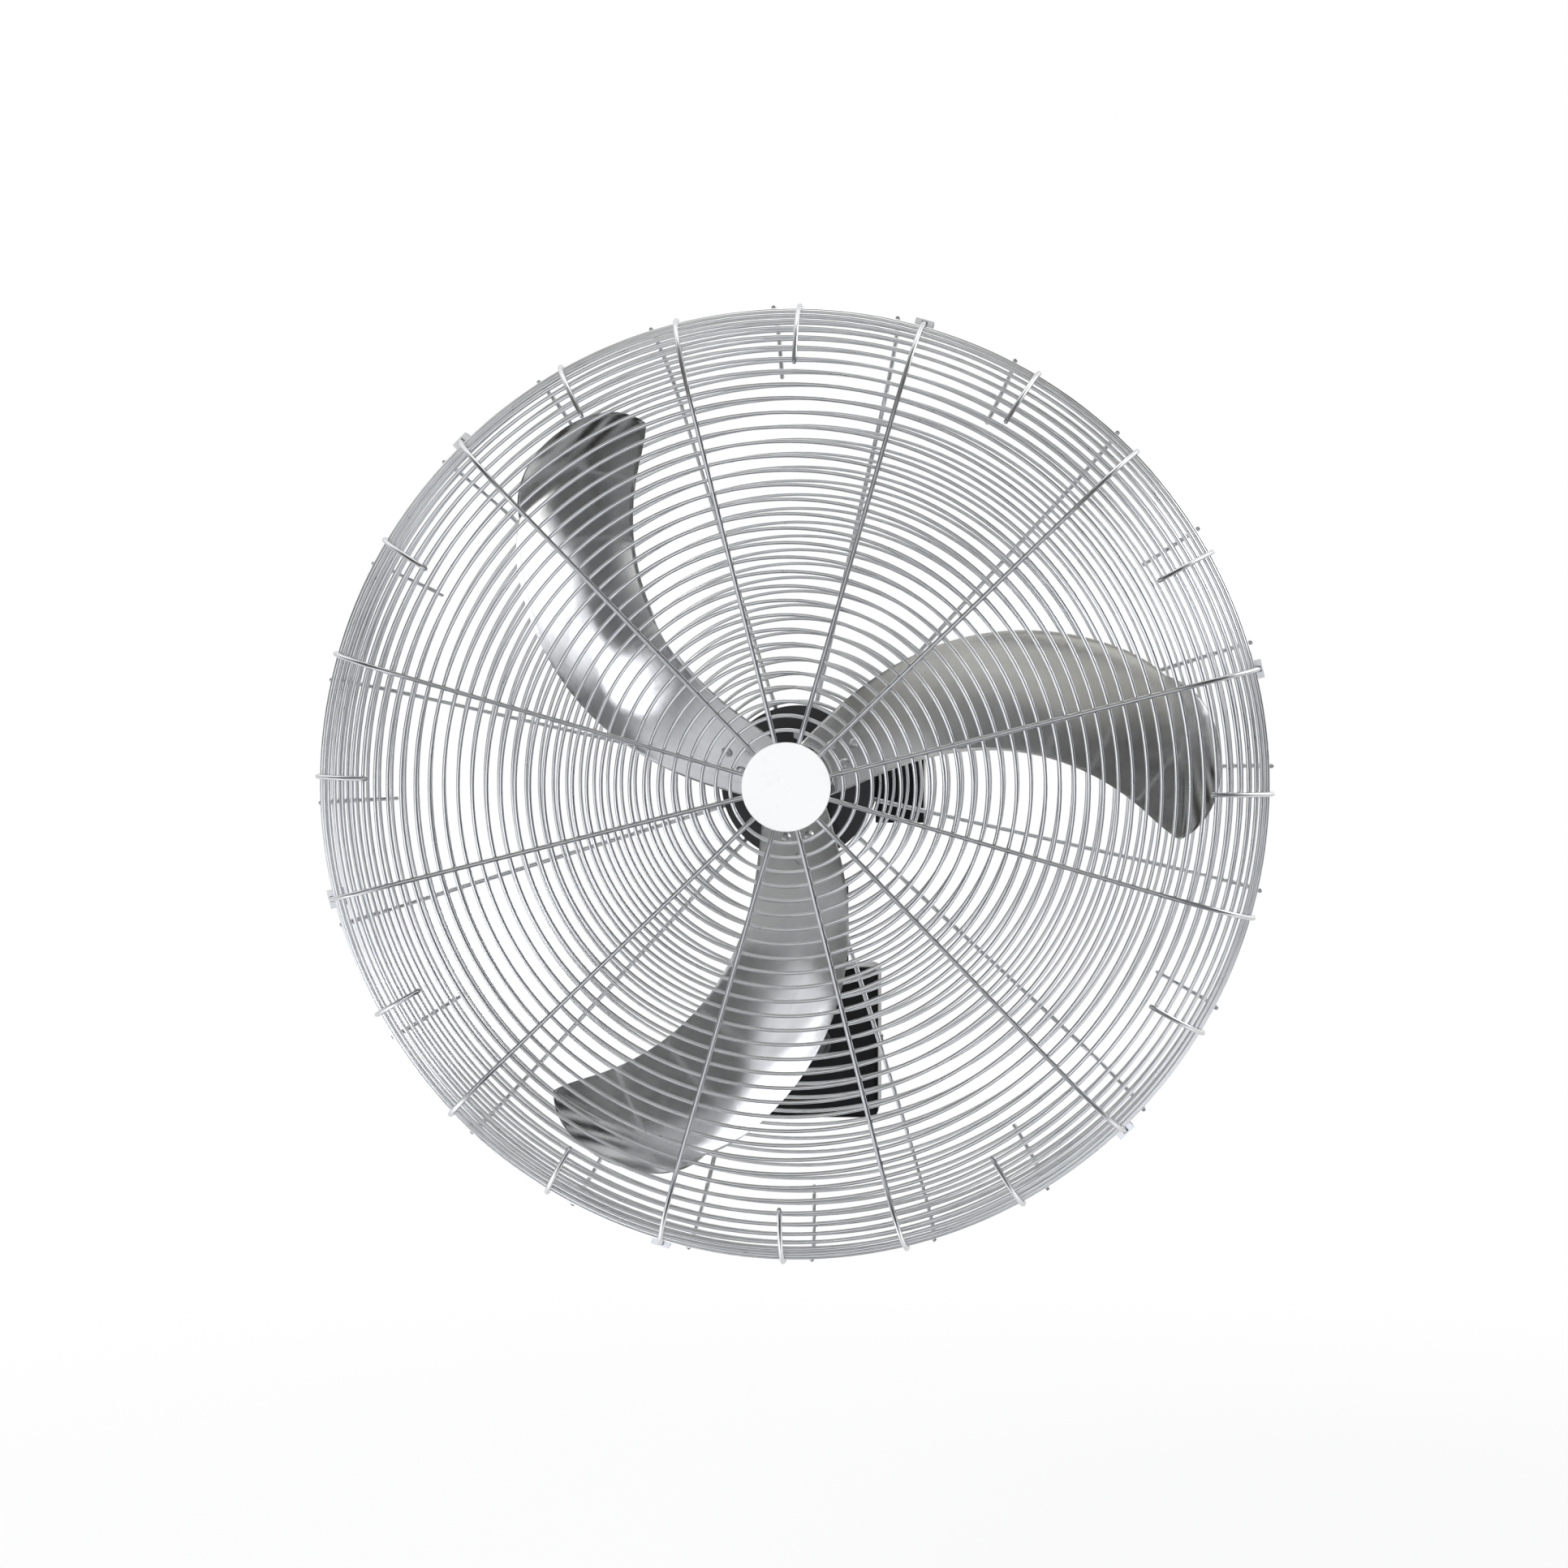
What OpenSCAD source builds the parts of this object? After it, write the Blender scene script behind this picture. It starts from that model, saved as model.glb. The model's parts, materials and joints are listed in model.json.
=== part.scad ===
// Industrial wall fan: a round wire guard, three swept aluminium blades, a motor with a
// swinging gear case, and a wall bracket with its switch box.
// The origin is on the wall, at the centre of the four wall bolts. +Z is up and the fan
// blows towards -Y.

/* [Guard] */
// Diameter of the guard over the centres of its radial wires
guard_d = 820; // [720:10:880]
// Radius of the bend at the edge of each guard half
corner_r = 84; // [74:1:90]
// Straight collar between that bend and the plane where the halves meet
rim_collar = 6; // [5:0.5:10]
// Spacing of the ring wires along the guard
ring_pitch = 12.1; // [11.5:0.1:14]
// Diameter of a ring wire
ring_wire = 3.2; // [2.5:0.1:3.6]
// Diameter of a radial wire
spoke_wire = 4; // [3.5:0.1:4.5]
// Diameter of the hoop at the rim of each half
hoop_wire = 5; // [4:0.1:5.5]
// Radial wires in each half, every second one short
spoke_count = 24; // [20:2:28]
// Angle of the first radial wire of the front half
spoke_start = 14; // [0:1:15]
// Angle by which the rear half's wires are turned from the front half's
rear_turn = 3.3; // [2.5:0.1:5]
// Angle of the bend that a short radial wire covers
stub_bend = 70; // [60:1:80]
// Radius at which the front half's long wires end
front_wire_in = 14; // [12:1:20]

/* [Badge] */
// Radius of the blank round badge
badge_r = 37.5; // [32:0.5:42]
// Thickness of the badge at its edge
badge_t = 3; // [2.5:0.5:5]
// Height of the dome of the badge over its edge
badge_dome = 1.6; // [1:0.1:3]
// Radius of the steel disc behind the badge
badge_plate_r = 33; // [28:0.5:36]

/* [Blades] */
// Gap from the tips of the blades to the guard's radial wires
tip_gap = 41; // [30:1:60]
// Radius of the inner end of a blade
blade_in_r = 34; // [32:0.5:38]
// Radius up to which a blade is flat, where it is riveted
blade_flat_r = 75; // [72:1:85]
// Thickness of the blade sheet
blade_t = 2; // [1.5:0.1:3]
// Pitch of the blade at its root
root_pitch = 37; // [30:1:40]
// Pitch of the blade at its tip
tip_pitch = 20; // [15:1:28]
// Depth of the hollow in a blade's section
blade_hollow = 13; // [6:1:16]
// Angle by which the tip is swept back from the root
blade_sweep = 29; // [20:1:32]
// Width of a blade along the arc, as it would be at the axis
blade_w0 = 48; // [40:1:52]
// Gain in that width for each millimetre of radius
blade_w_gain = 0.32; // [0.25:0.01:0.35]
// Length of the round tip
tip_round = 64; // [50:1:80]

/* [Hub] */
// Radius of the blade hub
hub_r = 24; // [22:0.5:28]
// Thickness of the hub's three pitched arms
arm_t = 5; // [4:0.5:7]
// Width of those arms
arm_w = 38; // [34:1:42]
// Length of the hub in front of the middle of the blades
hub_fwd = 22; // [20:1:30]
// Length of the hub behind the middle of the blades
hub_back = 24; // [20:1:30]
// Gap between the hub and the plate of the rear guard
hub_gap = 8; // [5:1:15]
// Distance from the plate of the rear guard to the middle of the blades
blade_forward = 72; // [60:1:85]

/* [Motor] */
// Radius of the bore of the motor's tube
motor_in_r = 57; // [54:0.5:60]
// Wall of that tube
motor_wall = 3; // [2.5:0.5:5]
// Height of the cooling ribs
rib_h = 4; // [2:0.5:5]
// Number of cooling ribs
rib_count = 32; // [24:4:40]
// Length of the motor's tube
motor_len = 78; // [70:1:110]
// Radius of the shaft
shaft_r = 7.5; // [6:0.5:9]
// Outer radius of the ball bearings
bearing_r = 17.5; // [16:0.5:21]
// Width of the ball bearings
bearing_w = 11; // [9:0.5:13]
// Air gap between rotor and stator
air_gap = 0.5; // [0.3:0.1:1]
// Radius of the rotor
rotor_r = 32; // [28:0.5:36]
// Length of the rotor and the stator
stack_len = 46; // [36:1:50]

/* [Capacitor box] */
// Width of the box, out from the motor
cap_box_w = 40; // [38:1:60]
// Height of the box
cap_box_h = 72; // [60:1:90]
// Length of the box along the motor
cap_box_l = 62; // [56:1:70]
// Wall of the box
cap_wall = 2; // [1.5:0.1:3]

/* [Gear case] */
// Radius of the gear case
gear_r = 42; // [38:0.5:46]
// Length of the gear case behind the swivel axis
gear_back = 27; // [24:1:40]
// Length of the gear case in front of the swivel axis
gear_fwd = 37; // [34:1:45]
// Radius of the swivel pin
pin_r = 8; // [7:0.5:10]
// Travel of the swing clutch knob
clutch_travel = 6; // [4:0.5:8]

/* [Bracket] */
// Height of the fan's axis over the wall bolts' centre
axis_h = 249; // [235:1:300]
// Distance of the swivel axis from the wall
swivel_s = 175; // [160:1:220]
// Distance of the tilt axis below the fan's axis
tilt_drop = 108; // [104:1:125]
// Radius of the tilt bolt
tilt_bolt_r = 5; // [4:0.5:6]
// Width of the neck's lug between the bracket's ears
lug_w = 30; // [26:1:36]
// Thickness of the bracket's side plates
ear_t = 5; // [4:0.5:7]
// Radius of the bracket's ears
ear_r = 20; // [18:0.5:24]
// Thickness of the wall plate
plate_t = 4; // [3:0.5:6]
// Radius of the wall bolt holes
wall_hole_r = 4.5; // [3:0.5:5]
// Spacing of the wall bolts across
wall_bolt_x = 84; // [70:1:90]
// Spacing of the wall bolts up and down
wall_bolt_z = 104; // [90:1:110]

/* [Switch box] */
// Width of the switch box
box_w = 122; // [118:1:150]
// Height of the switch box
box_h = 142; // [138:1:170]
// Depth of the switch box from the wall
box_d = 78; // [70:1:100]
// Wall of the switch box
box_wall = 2.5; // [2:0.1:4]
// Radius of the speed knob
knob_r = 17; // [14:0.5:22]

/* [Hidden] */
$fn = 48;

// Clearances: wires that are welded where they cross, flat faces that bear, screws in holes
touch = 0.05;
seat = 0.3;
run = 0.05;
screw_gap = 0.1;
part_gap = 0.5;

// Guard
wire_fn = 24;
ring_fn = 180;
guard_r = guard_d / 2;
flat_r = guard_r - corner_r;
wire_z = rim_collar + corner_r;
ring_drop = (spoke_wire + ring_wire) / 2 + touch;
ring_bend = corner_r - ring_drop;
ring_z = rim_collar + ring_bend;
pitch_turn = ring_pitch / corner_r * 180 / PI;
skirt_rings = floor((90 - 5) / pitch_turn);
hoop_z = hoop_wire / 2 + part_gap;
hoop_r = guard_r - (spoke_wire + hoop_wire) / 2 - touch;
spoke_turn = 360 / spoke_count;
front_ring_in = badge_r + ring_wire / 2 + 4;

// Along the fan's axis, measured from the wall
gear_front_s = swivel_s + gear_fwd;
bell_t = bearing_w + 2;
bell_r = motor_in_r + motor_wall + rib_h + 2;
body_s = gear_front_s + bell_t;
front_bell_s = body_s + motor_len;
bell_disc_t = 8;
nose_r = 50;
nose_h = spoke_wire + 1.2;
nose_s = front_bell_s + bell_disc_t + nose_h;
guard_plate_s = nose_s + touch;
guard_plate_t = 2.5;
guard_plate_r = bell_r + 2;
rear_ring_in = guard_plate_r + ring_wire / 2 + 1.5;
guard_bolt_r = 42;
rim_s = guard_plate_s - touch - spoke_wire / 2 - touch + wire_z + touch;
blade_s = guard_plate_s + blade_forward;
stack_s = body_s + (motor_len - stack_len) / 2;
tie_r = motor_in_r + motor_wall + 0.5;
tie_bolt_r = 2;
tie_boss_r = 4.2;
gear_flange_r = 52;
gear_screw_r = (gear_r + gear_flange_r) / 2;
flange_t = 4;
shaft_tail = 14;
hub_nut_h = 8;
guard_screw_r = 2.5;
guard_screw_l = 11;
guard_head_h = 3.5;
screw_r = 2;
screw_head_r = 3.6;
screw_head_h = 2.5;
case_screw_l = 11;
pin_reach = 16;
clutch_r = 4;
clutch_stem = clutch_travel + 15;
clutch_boss_h = 8;

// Guard clips
clip_t = 1.5;
clip_w = 16;
clip_in = hoop_r - hoop_wire / 2 - 2;
clip_out = guard_r + spoke_wire / 2 + seat;
clip_half = hoop_z + hoop_wire / 2 + 0.15;

// Blades
blade_r = guard_r - tip_gap;
round_from = blade_r - tip_round;
root_lead = 34;
span_flat = 3;
span_mid = 12;
span_tip = 9;
chord_n = 10;
tip_power = 2.2;
sweep_power = 1.5;
sweep_span = 0.865;
sweep_end = 1.02;
rivet_r = 3;
rivet_at = [[46, -12], [46, 12], [64, 0]];
arm_out = 72;
set_screw_r = 3;

// Capacitor box
cap_box_x = bell_r + 1;
cap_box_s = body_s + (motor_len - cap_box_l) / 2;
saddle_h = 28;
saddle_l = 40;
lid_t = 2.5;
capacitor_r = min(17, (cap_box_w - cap_wall) / 2 - 1);
lid_screw_r = 2;
lid_screw_in = 6;
post_w = lid_screw_in + lid_screw_r + 1;

// Neck and bracket, heights from the wall bolts' centre
gear_foot = gear_r + 4;
neck_top = axis_h - gear_foot - seat;
barrel_h = 32;
barrel_r = 17;
bush_t = 3;
tilt_h = axis_h - tilt_drop;
nut_h = 7;
washer_t = 1.5;
box_r = 8;
arm_low = box_h / 2 + 9;
arm_high = tilt_h - 2;
arm_in = lug_w / 2 + part_gap;
ear_out = arm_in + ear_t;
web_t = 4;
arm_rivet_r = 3;
arm_head_r = arm_rivet_r + 1;
arm_rivet_x = ear_out + arm_head_r + part_gap;
tongue_w = 2 * (arm_rivet_x + arm_head_r + part_gap);
plate_gap = 0.5;
plate_w = box_w - 2 * box_wall - 2 * plate_gap;
plate_h = box_h - 2 * box_wall - 2 * plate_gap;
knob_h = 16;
stem_r = 3;
switch_bush_r = 5;
switch_w = 32;
switch_d = 20;
gland_r = 9;
gland_bore = 4.5;
gland_s = 36;
gland_z = 36 - box_h / 2;
tab_l = 22;
tab_t = 3;

// Frames and shared shapes

// Turns a child's +Z along the fan's axis, at a distance s from the wall
module on_axis(s = 0) translate([0, -s, axis_h]) rotate([90, 0, 0]) children();

// Turns a child's +Z out from the wall, at the height of the wall bolts' centre
module off_wall(s = 0) translate([0, -s, 0]) rotate([90, 0, 0]) children();

module tube(r_out, r_in, h) difference() {
    cylinder(r = r_out, h = h);
    translate([0, 0, -1]) cylinder(r = r_in, h = h + 2);
}

module rounded(w, h, r) {
    square([w - 2 * r, h], center = true);
    square([w, h - 2 * r], center = true);
    for (x = [-1, 1], y = [-1, 1]) translate([x * (w / 2 - r), y * (h / 2 - r)]) circle(r = r);
}

// Bolt with its head above z = 0 and its shank below
module hex_bolt(r, l, head_r, head_h) {
    cylinder(r = head_r, h = head_h, $fn = 6);
    translate([0, 0, -l]) cylinder(r = r, h = l + 0.01);
}

module pan_screw(r, l, head_r, head_h) {
    difference() {
        cylinder(r = head_r, h = head_h);
        translate([-head_r, -0.4, head_h * 0.55]) cube([2 * head_r, 0.8, head_h]);
    }
    translate([0, 0, -l]) cylinder(r = r, h = l + 0.01);
}

module hex_nut(r, head_r, h) difference() {
    cylinder(r = head_r, h = h, $fn = 6);
    translate([0, 0, -1]) cylinder(r = r, h = h + 2);
}

// Wire guard: each half is drawn with the rim plane at z = 0 and its face above it

module front_half() on_axis(rim_s) children();

module rear_half() on_axis(rim_s) mirror([0, 0, 1]) children();

module face_rings(r_in) rotate_extrude($fn = ring_fn)
    for (r = [flat_r : -ring_pitch : r_in]) translate([r, ring_z]) circle(d = ring_wire, $fn = wire_fn);

module skirt() rotate_extrude($fn = ring_fn)
    for (k = [1 : skirt_rings])
        translate([flat_r + ring_bend * sin(k * pitch_turn), rim_collar + ring_bend * cos(k * pitch_turn)])
            circle(d = ring_wire, $fn = wire_fn);

module rim_hoop() rotate_extrude($fn = ring_fn)
    translate([hoop_r, hoop_z]) circle(d = hoop_wire, $fn = wire_fn);

module wire_bend(angle) translate([flat_r, 0, rim_collar]) rotate([90, 0, 0])
    rotate_extrude(angle = angle, $fn = 96) translate([corner_r, 0]) circle(d = spoke_wire, $fn = wire_fn);

module wire_collar() translate([guard_r, 0, part_gap])
    cylinder(d = spoke_wire, h = rim_collar - part_gap, $fn = wire_fn);

module long_wire(r_in) {
    translate([r_in, 0, wire_z]) rotate([0, 90, 0])
        cylinder(d = spoke_wire, h = flat_r - r_in, $fn = wire_fn);
    wire_bend(90);
    wire_collar();
}

module short_wire() {
    wire_bend(stub_bend);
    wire_collar();
}

module spokes(start, r_in) for (k = [0 : spoke_count - 1]) rotate([0, 0, start + k * spoke_turn])
    if (k % 2 == 0) long_wire(r_in); else short_wire();

module front_guard_spokes() color("gainsboro") front_half() spokes(spoke_start, front_wire_in);

module front_guard_rings() color("silver") front_half() face_rings(front_ring_in);

module front_skirt_rings() color("silver") front_half() skirt();

module front_rim_hoop() color("silver") front_half() rim_hoop();

module rear_guard_spokes() color("gainsboro") rear_half() mirror([1, 0, 0])
    spokes(180 - spoke_start - rear_turn, nose_r + 5);

module rear_guard_rings() color("silver") rear_half() face_rings(rear_ring_in);

module rear_skirt_rings() color("silver") rear_half() skirt();

module rear_rim_hoop() color("silver") rear_half() rim_hoop();

// Clips that hook over both hoops, one at every fourth radial wire of the front half
module guard_clip() difference() {
    translate([clip_in, -clip_w / 2, -clip_half - clip_t])
        cube([clip_out + clip_t - clip_in, clip_w, 2 * (clip_half + clip_t)]);
    translate([clip_in - 1, -clip_w / 2 - 1, -clip_half])
        cube([clip_out - clip_in + 1, clip_w + 2, 2 * clip_half]);
    translate([guard_r - spoke_wire / 2 - seat, -spoke_wire / 2 - seat, 0])
        cube([spoke_wire + 2 * seat, spoke_wire + 2 * seat, clip_half + clip_t + 1]);
}

module guard_clips() color("silver") front_half()
    for (k = [0 : 4 : spoke_count - 1]) rotate([0, 0, spoke_start + k * spoke_turn]) guard_clip();

module rear_guard_plate() color("dimgray") on_axis(guard_plate_s) difference() {
    tube(guard_plate_r, nose_r - 24, guard_plate_t);
    for (k = [0 : 3]) rotate([0, 0, 90 * k]) translate([guard_bolt_r, 0, -1])
        cylinder(r = guard_screw_r + screw_gap, h = guard_plate_t + 2);
}

module rear_guard_bolts() color("silver") on_axis(guard_plate_s + guard_plate_t + touch)
    for (k = [0 : 3]) rotate([0, 0, 90 * k]) translate([guard_bolt_r, 0, 0])
        hex_bolt(guard_screw_r, guard_screw_l, guard_screw_r + 2.1, guard_head_h);

// Badge in the middle of the front guard, held by a bolt from behind
module badge_plate() color("silver") on_axis(rim_s + wire_z - spoke_wire / 2 - touch - 2)
    tube(badge_plate_r, 3 + screw_gap, 2);

module badge_bolt() color("silver") on_axis(rim_s + wire_z - spoke_wire / 2 - 2 * touch - 2)
    mirror([0, 0, 1]) hex_bolt(3, spoke_wire + 2 + 3 * touch + badge_t * 0.6, 5, 4);

badge_edge = 1;
dome_r = (pow(badge_r - badge_edge, 2) + pow(badge_dome, 2)) / (2 * badge_dome);

module badge() color("white") on_axis(rim_s + wire_z + spoke_wire / 2 + touch) difference() {
    rotate_extrude($fn = 96) {
        square([badge_r, badge_t - badge_edge]);
        translate([badge_r - badge_edge, badge_t - badge_edge]) circle(r = badge_edge, $fn = 24);
        square([badge_r - badge_edge, badge_t]);
        intersection() {
            translate([0, badge_t + badge_dome - dome_r]) circle(r = dome_r, $fn = 720);
            square([badge_r - badge_edge, badge_t + badge_dome]);
        }
    }
    translate([0, 0, -1]) cylinder(r = 3 + screw_gap, h = 1 + badge_t * 0.6 + seat);
}

// Blades. u is the radius and v runs from 0 at the hollow edge to 1 at the round edge.

function spread(u) = max(0, u - blade_flat_r) / (blade_r - blade_flat_r);
function ease(x) = x * x * (3 - 2 * x);
function lead(u) = root_lead - blade_sweep * pow(min(sweep_end, spread(u) / sweep_span), sweep_power);
function tip_narrow(u) =
    u <= round_from ? 1 : pow(max(0, 1 - pow((u - round_from) / tip_round, tip_power)), 1 / tip_power);
function blade_w(u) = (blade_w0 + blade_w_gain * u) * tip_narrow(u);
function pitch_at(u) = root_pitch + (tip_pitch - root_pitch) * ease(spread(u));
function off_turn(u, v) = (v - 0.5) * blade_w(u) / u * 180 / PI;
function hollow(u, v) =
    -blade_hollow * ease(min(1, 1.8 * spread(u))) * (1 - pow(2 * v - 1, 2)) * tip_narrow(u);
function blade_z(u, v) = -u * sin(off_turn(u, v)) * tan(pitch_at(u)) + hollow(u, v);
function blade_point(u, v, z) =
    [u * cos(lead(u) + off_turn(u, v)), u * sin(lead(u) + off_turn(u, v)), blade_z(u, v) + z];

span_u = [
    for (i = [0 : span_flat - 1]) blade_in_r + (blade_flat_r - blade_in_r) * i / span_flat,
    for (i = [0 : span_mid - 1]) blade_flat_r + (round_from - blade_flat_r) * i / span_mid,
    for (i = [0 : span_tip]) round_from + tip_round * sin(88.5 * i / span_tip)
];

// One blade as a closed skin: the front face, the back face and the four edges between them
module blade_sheet() {
    rows = len(span_u);
    cols = chord_n + 1;
    back = rows * cols;
    points = [for (z = [1, -1], u = span_u, j = [0 : chord_n]) blade_point(u, j / chord_n, z * blade_t / 2)];
    function at(i, j) = i * cols + j;
    front_faces = [for (i = [0 : rows - 2], j = [0 : chord_n - 1], h = [0, 1])
        h == 0 ? [at(i, j), at(i, j + 1), at(i + 1, j + 1)] : [at(i, j), at(i + 1, j + 1), at(i + 1, j)]];
    back_faces = [for (f = front_faces) [f[0] + back, f[2] + back, f[1] + back]];
    rim = concat(
        [for (j = [0 : chord_n]) at(0, j)],
        [for (i = [1 : rows - 1]) at(i, chord_n)],
        [for (j = [chord_n - 1 : -1 : 0]) at(rows - 1, j)],
        [for (i = [rows - 2 : -1 : 1]) at(i, 0)]
    );
    edge_faces = [for (k = [0 : len(rim) - 1], h = [0, 1])
        let (a = rim[k], b = rim[(k + 1) % len(rim)])
        h == 0 ? [b, a, a + back] : [b, a + back, b + back]];
    polyhedron(points, concat(front_faces, back_faces, edge_faces));
}

// Places a child at a spot of the flat root of blade k, with +Z square to the sheet
module at_root(k, spot) rotate([0, 0, root_lead + 120 * k]) rotate([-root_pitch, 0, 0])
    translate([spot[0], spot[1], 0]) children();

sheet_half = blade_t / 2 * cos(root_pitch);

module blade(k) color("lightgray") on_axis(blade_s) difference() {
    rotate([0, 0, 120 * k]) blade_sheet();
    for (spot = rivet_at) at_root(k, spot) translate([0, 0, -blade_t])
        cylinder(r = rivet_r + run, h = 2 * blade_t);
}

module blade_1() blade(0);

module blade_2() blade(1);

module blade_3() blade(2);

module rivet() {
    top = sheet_half + touch;
    bottom = -sheet_half - touch - arm_t - touch;
    difference() {
        translate([0, 0, top - 3]) sphere(r = 6);
        translate([-7, -7, top - 14]) cube([14, 14, 14]);
    }
    translate([0, 0, bottom - 2]) cylinder(r = rivet_r, h = top - bottom + 2.01);
    translate([0, 0, bottom - 2]) cylinder(r = rivet_r + 2, h = 2);
}

module blade_rivets() color("silver") on_axis(blade_s)
    for (k = [0 : 2], spot = rivet_at) at_root(k, spot) rivet();

// Hub: a bored boss with three pitched arms, on which the blades are riveted
module hub_arm(k) at_root(k, [0, 0]) translate([0, 0, -sheet_half - touch - arm_t]) difference() {
    translate([hub_r / 2, -arm_w / 2, 0]) cube([arm_out - hub_r / 2, arm_w, arm_t]);
    for (spot = rivet_at) translate([spot[0], spot[1], -1]) cylinder(r = rivet_r + run, h = arm_t + 2);
}

hub_tail = blade_forward - guard_plate_t - hub_gap;

module blade_hub() color("darkgray") on_axis(blade_s) difference() {
    union() {
        translate([0, 0, -hub_back]) cylinder(r = hub_r, h = hub_back + hub_fwd);
        translate([0, 0, -hub_tail]) cylinder(r = hub_r - 5, h = hub_tail);
        for (k = [0 : 2]) hub_arm(k);
    }
    translate([0, 0, -hub_tail - 1]) cylinder(r = shaft_r + run, h = hub_tail + hub_fwd + 2);
    for (k = [0, 1]) rotate([0, 0, 90 * k]) translate([0, 0, -hub_tail + 10]) rotate([0, 90, 0])
        cylinder(r = set_screw_r + screw_gap, h = hub_r);
}

module hub_set_screws() color("dimgray") on_axis(blade_s)
    for (k = [0, 1]) rotate([0, 0, 90 * k]) translate([shaft_r + touch, 0, -hub_tail + 10]) rotate([0, 90, 0])
        cylinder(r = set_screw_r, h = hub_r - 5 - shaft_r - 1);

module motor_shaft() color("silver") {
    tail_s = gear_front_s - shaft_tail;
    on_axis(tail_s) cylinder(r = shaft_r, h = blade_s + hub_fwd - tail_s - 0.5);
    on_axis(blade_s + hub_fwd - 0.51) cylinder(r = shaft_r - 2, h = washer_t + hub_nut_h + 6.5);
}

module hub_washer() color("silver") on_axis(blade_s + hub_fwd + touch)
    tube(hub_r * 0.75, shaft_r - 2 + screw_gap, washer_t);

module hub_nut() color("silver") on_axis(blade_s + hub_fwd + washer_t + 2 * touch)
    hex_nut(shaft_r - 2 + run, shaft_r + 3, hub_nut_h);

// Motor
module rib_profile() difference() {
    union() {
        circle(r = motor_in_r + motor_wall);
        for (k = [0 : rib_count - 1]) rotate(360 / rib_count * (k + 0.5))
            translate([motor_in_r + motor_wall / 2, -1]) square([motor_wall / 2 + rib_h, 2]);
        for (k = [0 : 3]) rotate(45 + 90 * k) translate([tie_r, 0]) circle(r = tie_boss_r);
    }
    circle(r = motor_in_r);
    for (k = [0 : 3]) rotate(45 + 90 * k) translate([tie_r, 0]) circle(r = tie_bolt_r + screw_gap);
}

module motor_body() color("#1d1d1f") on_axis(body_s) {
    linear_extrude(motor_len) rib_profile();
    translate([motor_in_r + seat, -saddle_h / 2, (motor_len - saddle_l) / 2])
        cube([cap_box_x - touch - motor_in_r - seat, saddle_h, saddle_l]);
}

module rear_bell() color("#1d1d1f") on_axis(gear_front_s + touch) difference() {
    cylinder(r = bell_r, h = bell_t - 2 * touch);
    translate([0, 0, bell_t - 2 * touch - bearing_w - 0.2]) cylinder(r = bearing_r + run, h = bearing_w + 2);
    translate([0, 0, -1]) cylinder(r = shaft_r + 1.5, h = bell_t + 2);
    for (k = [0 : 3]) rotate([0, 0, 45 + 90 * k]) translate([tie_r, 0, -1])
        cylinder(r = tie_bolt_r + screw_gap, h = bell_t + 2);
    for (k = [0 : 3]) rotate([0, 0, 90 * k]) translate([gear_screw_r, 0, -1])
        cylinder(r = screw_r + screw_gap, h = case_screw_l - 2);
}

module front_bell() color("#1d1d1f") on_axis(front_bell_s + touch) difference() {
    union() {
        cylinder(r = bell_r, h = bell_disc_t - touch);
        cylinder(r = nose_r, h = bell_disc_t + nose_h - touch);
    }
    translate([0, 0, -1]) cylinder(r = bearing_r + run, h = bearing_w + 1.2);
    translate([0, 0, -1]) cylinder(r = shaft_r + 1.5, h = bell_disc_t + nose_h + 2);
    for (k = [0 : 3]) rotate([0, 0, 45 + 90 * k]) translate([tie_r, 0, -1])
        cylinder(r = tie_bolt_r + screw_gap, h = 7);
    for (k = [0 : 3]) rotate([0, 0, 90 * k])
        translate([guard_bolt_r, 0, bell_disc_t + nose_h + 1 - guard_screw_l])
            cylinder(r = guard_screw_r + screw_gap, h = guard_screw_l + 1);
}

module motor_tie_bolts() color("silver") on_axis(gear_front_s) for (k = [0 : 3])
    rotate([0, 0, 45 + 90 * k]) translate([tie_r, 0, 0]) mirror([0, 0, 1])
        hex_bolt(tie_bolt_r, bell_t + motor_len + 5.5, 3.8, 3);

module bearing() color("silver") difference() {
    tube(bearing_r, shaft_r + run, bearing_w);
    for (z = [-0.1, bearing_w - 0.9]) translate([0, 0, z]) tube(bearing_r - 3, shaft_r + 3, 1);
}

module rear_bearing() on_axis(body_s - touch - bearing_w) bearing();

module front_bearing() on_axis(front_bell_s + 2 * touch) bearing();

module stator_core() color("slategray") on_axis(stack_s) difference() {
    tube(motor_in_r - run, rotor_r + air_gap, stack_len);
    for (k = [0 : 11]) rotate([0, 0, 30 * k]) translate([rotor_r + air_gap + 9, 0, -1])
        cylinder(r = 3.5, h = stack_len + 2);
}

module stator_windings() color("peru") for (s = [stack_s - 11 - touch, stack_s + stack_len + touch])
    on_axis(s) tube(motor_in_r - 4, rotor_r + 2, 11);

module rotor_core() color("gray") on_axis(stack_s) tube(rotor_r, shaft_r + run, stack_len);

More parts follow.
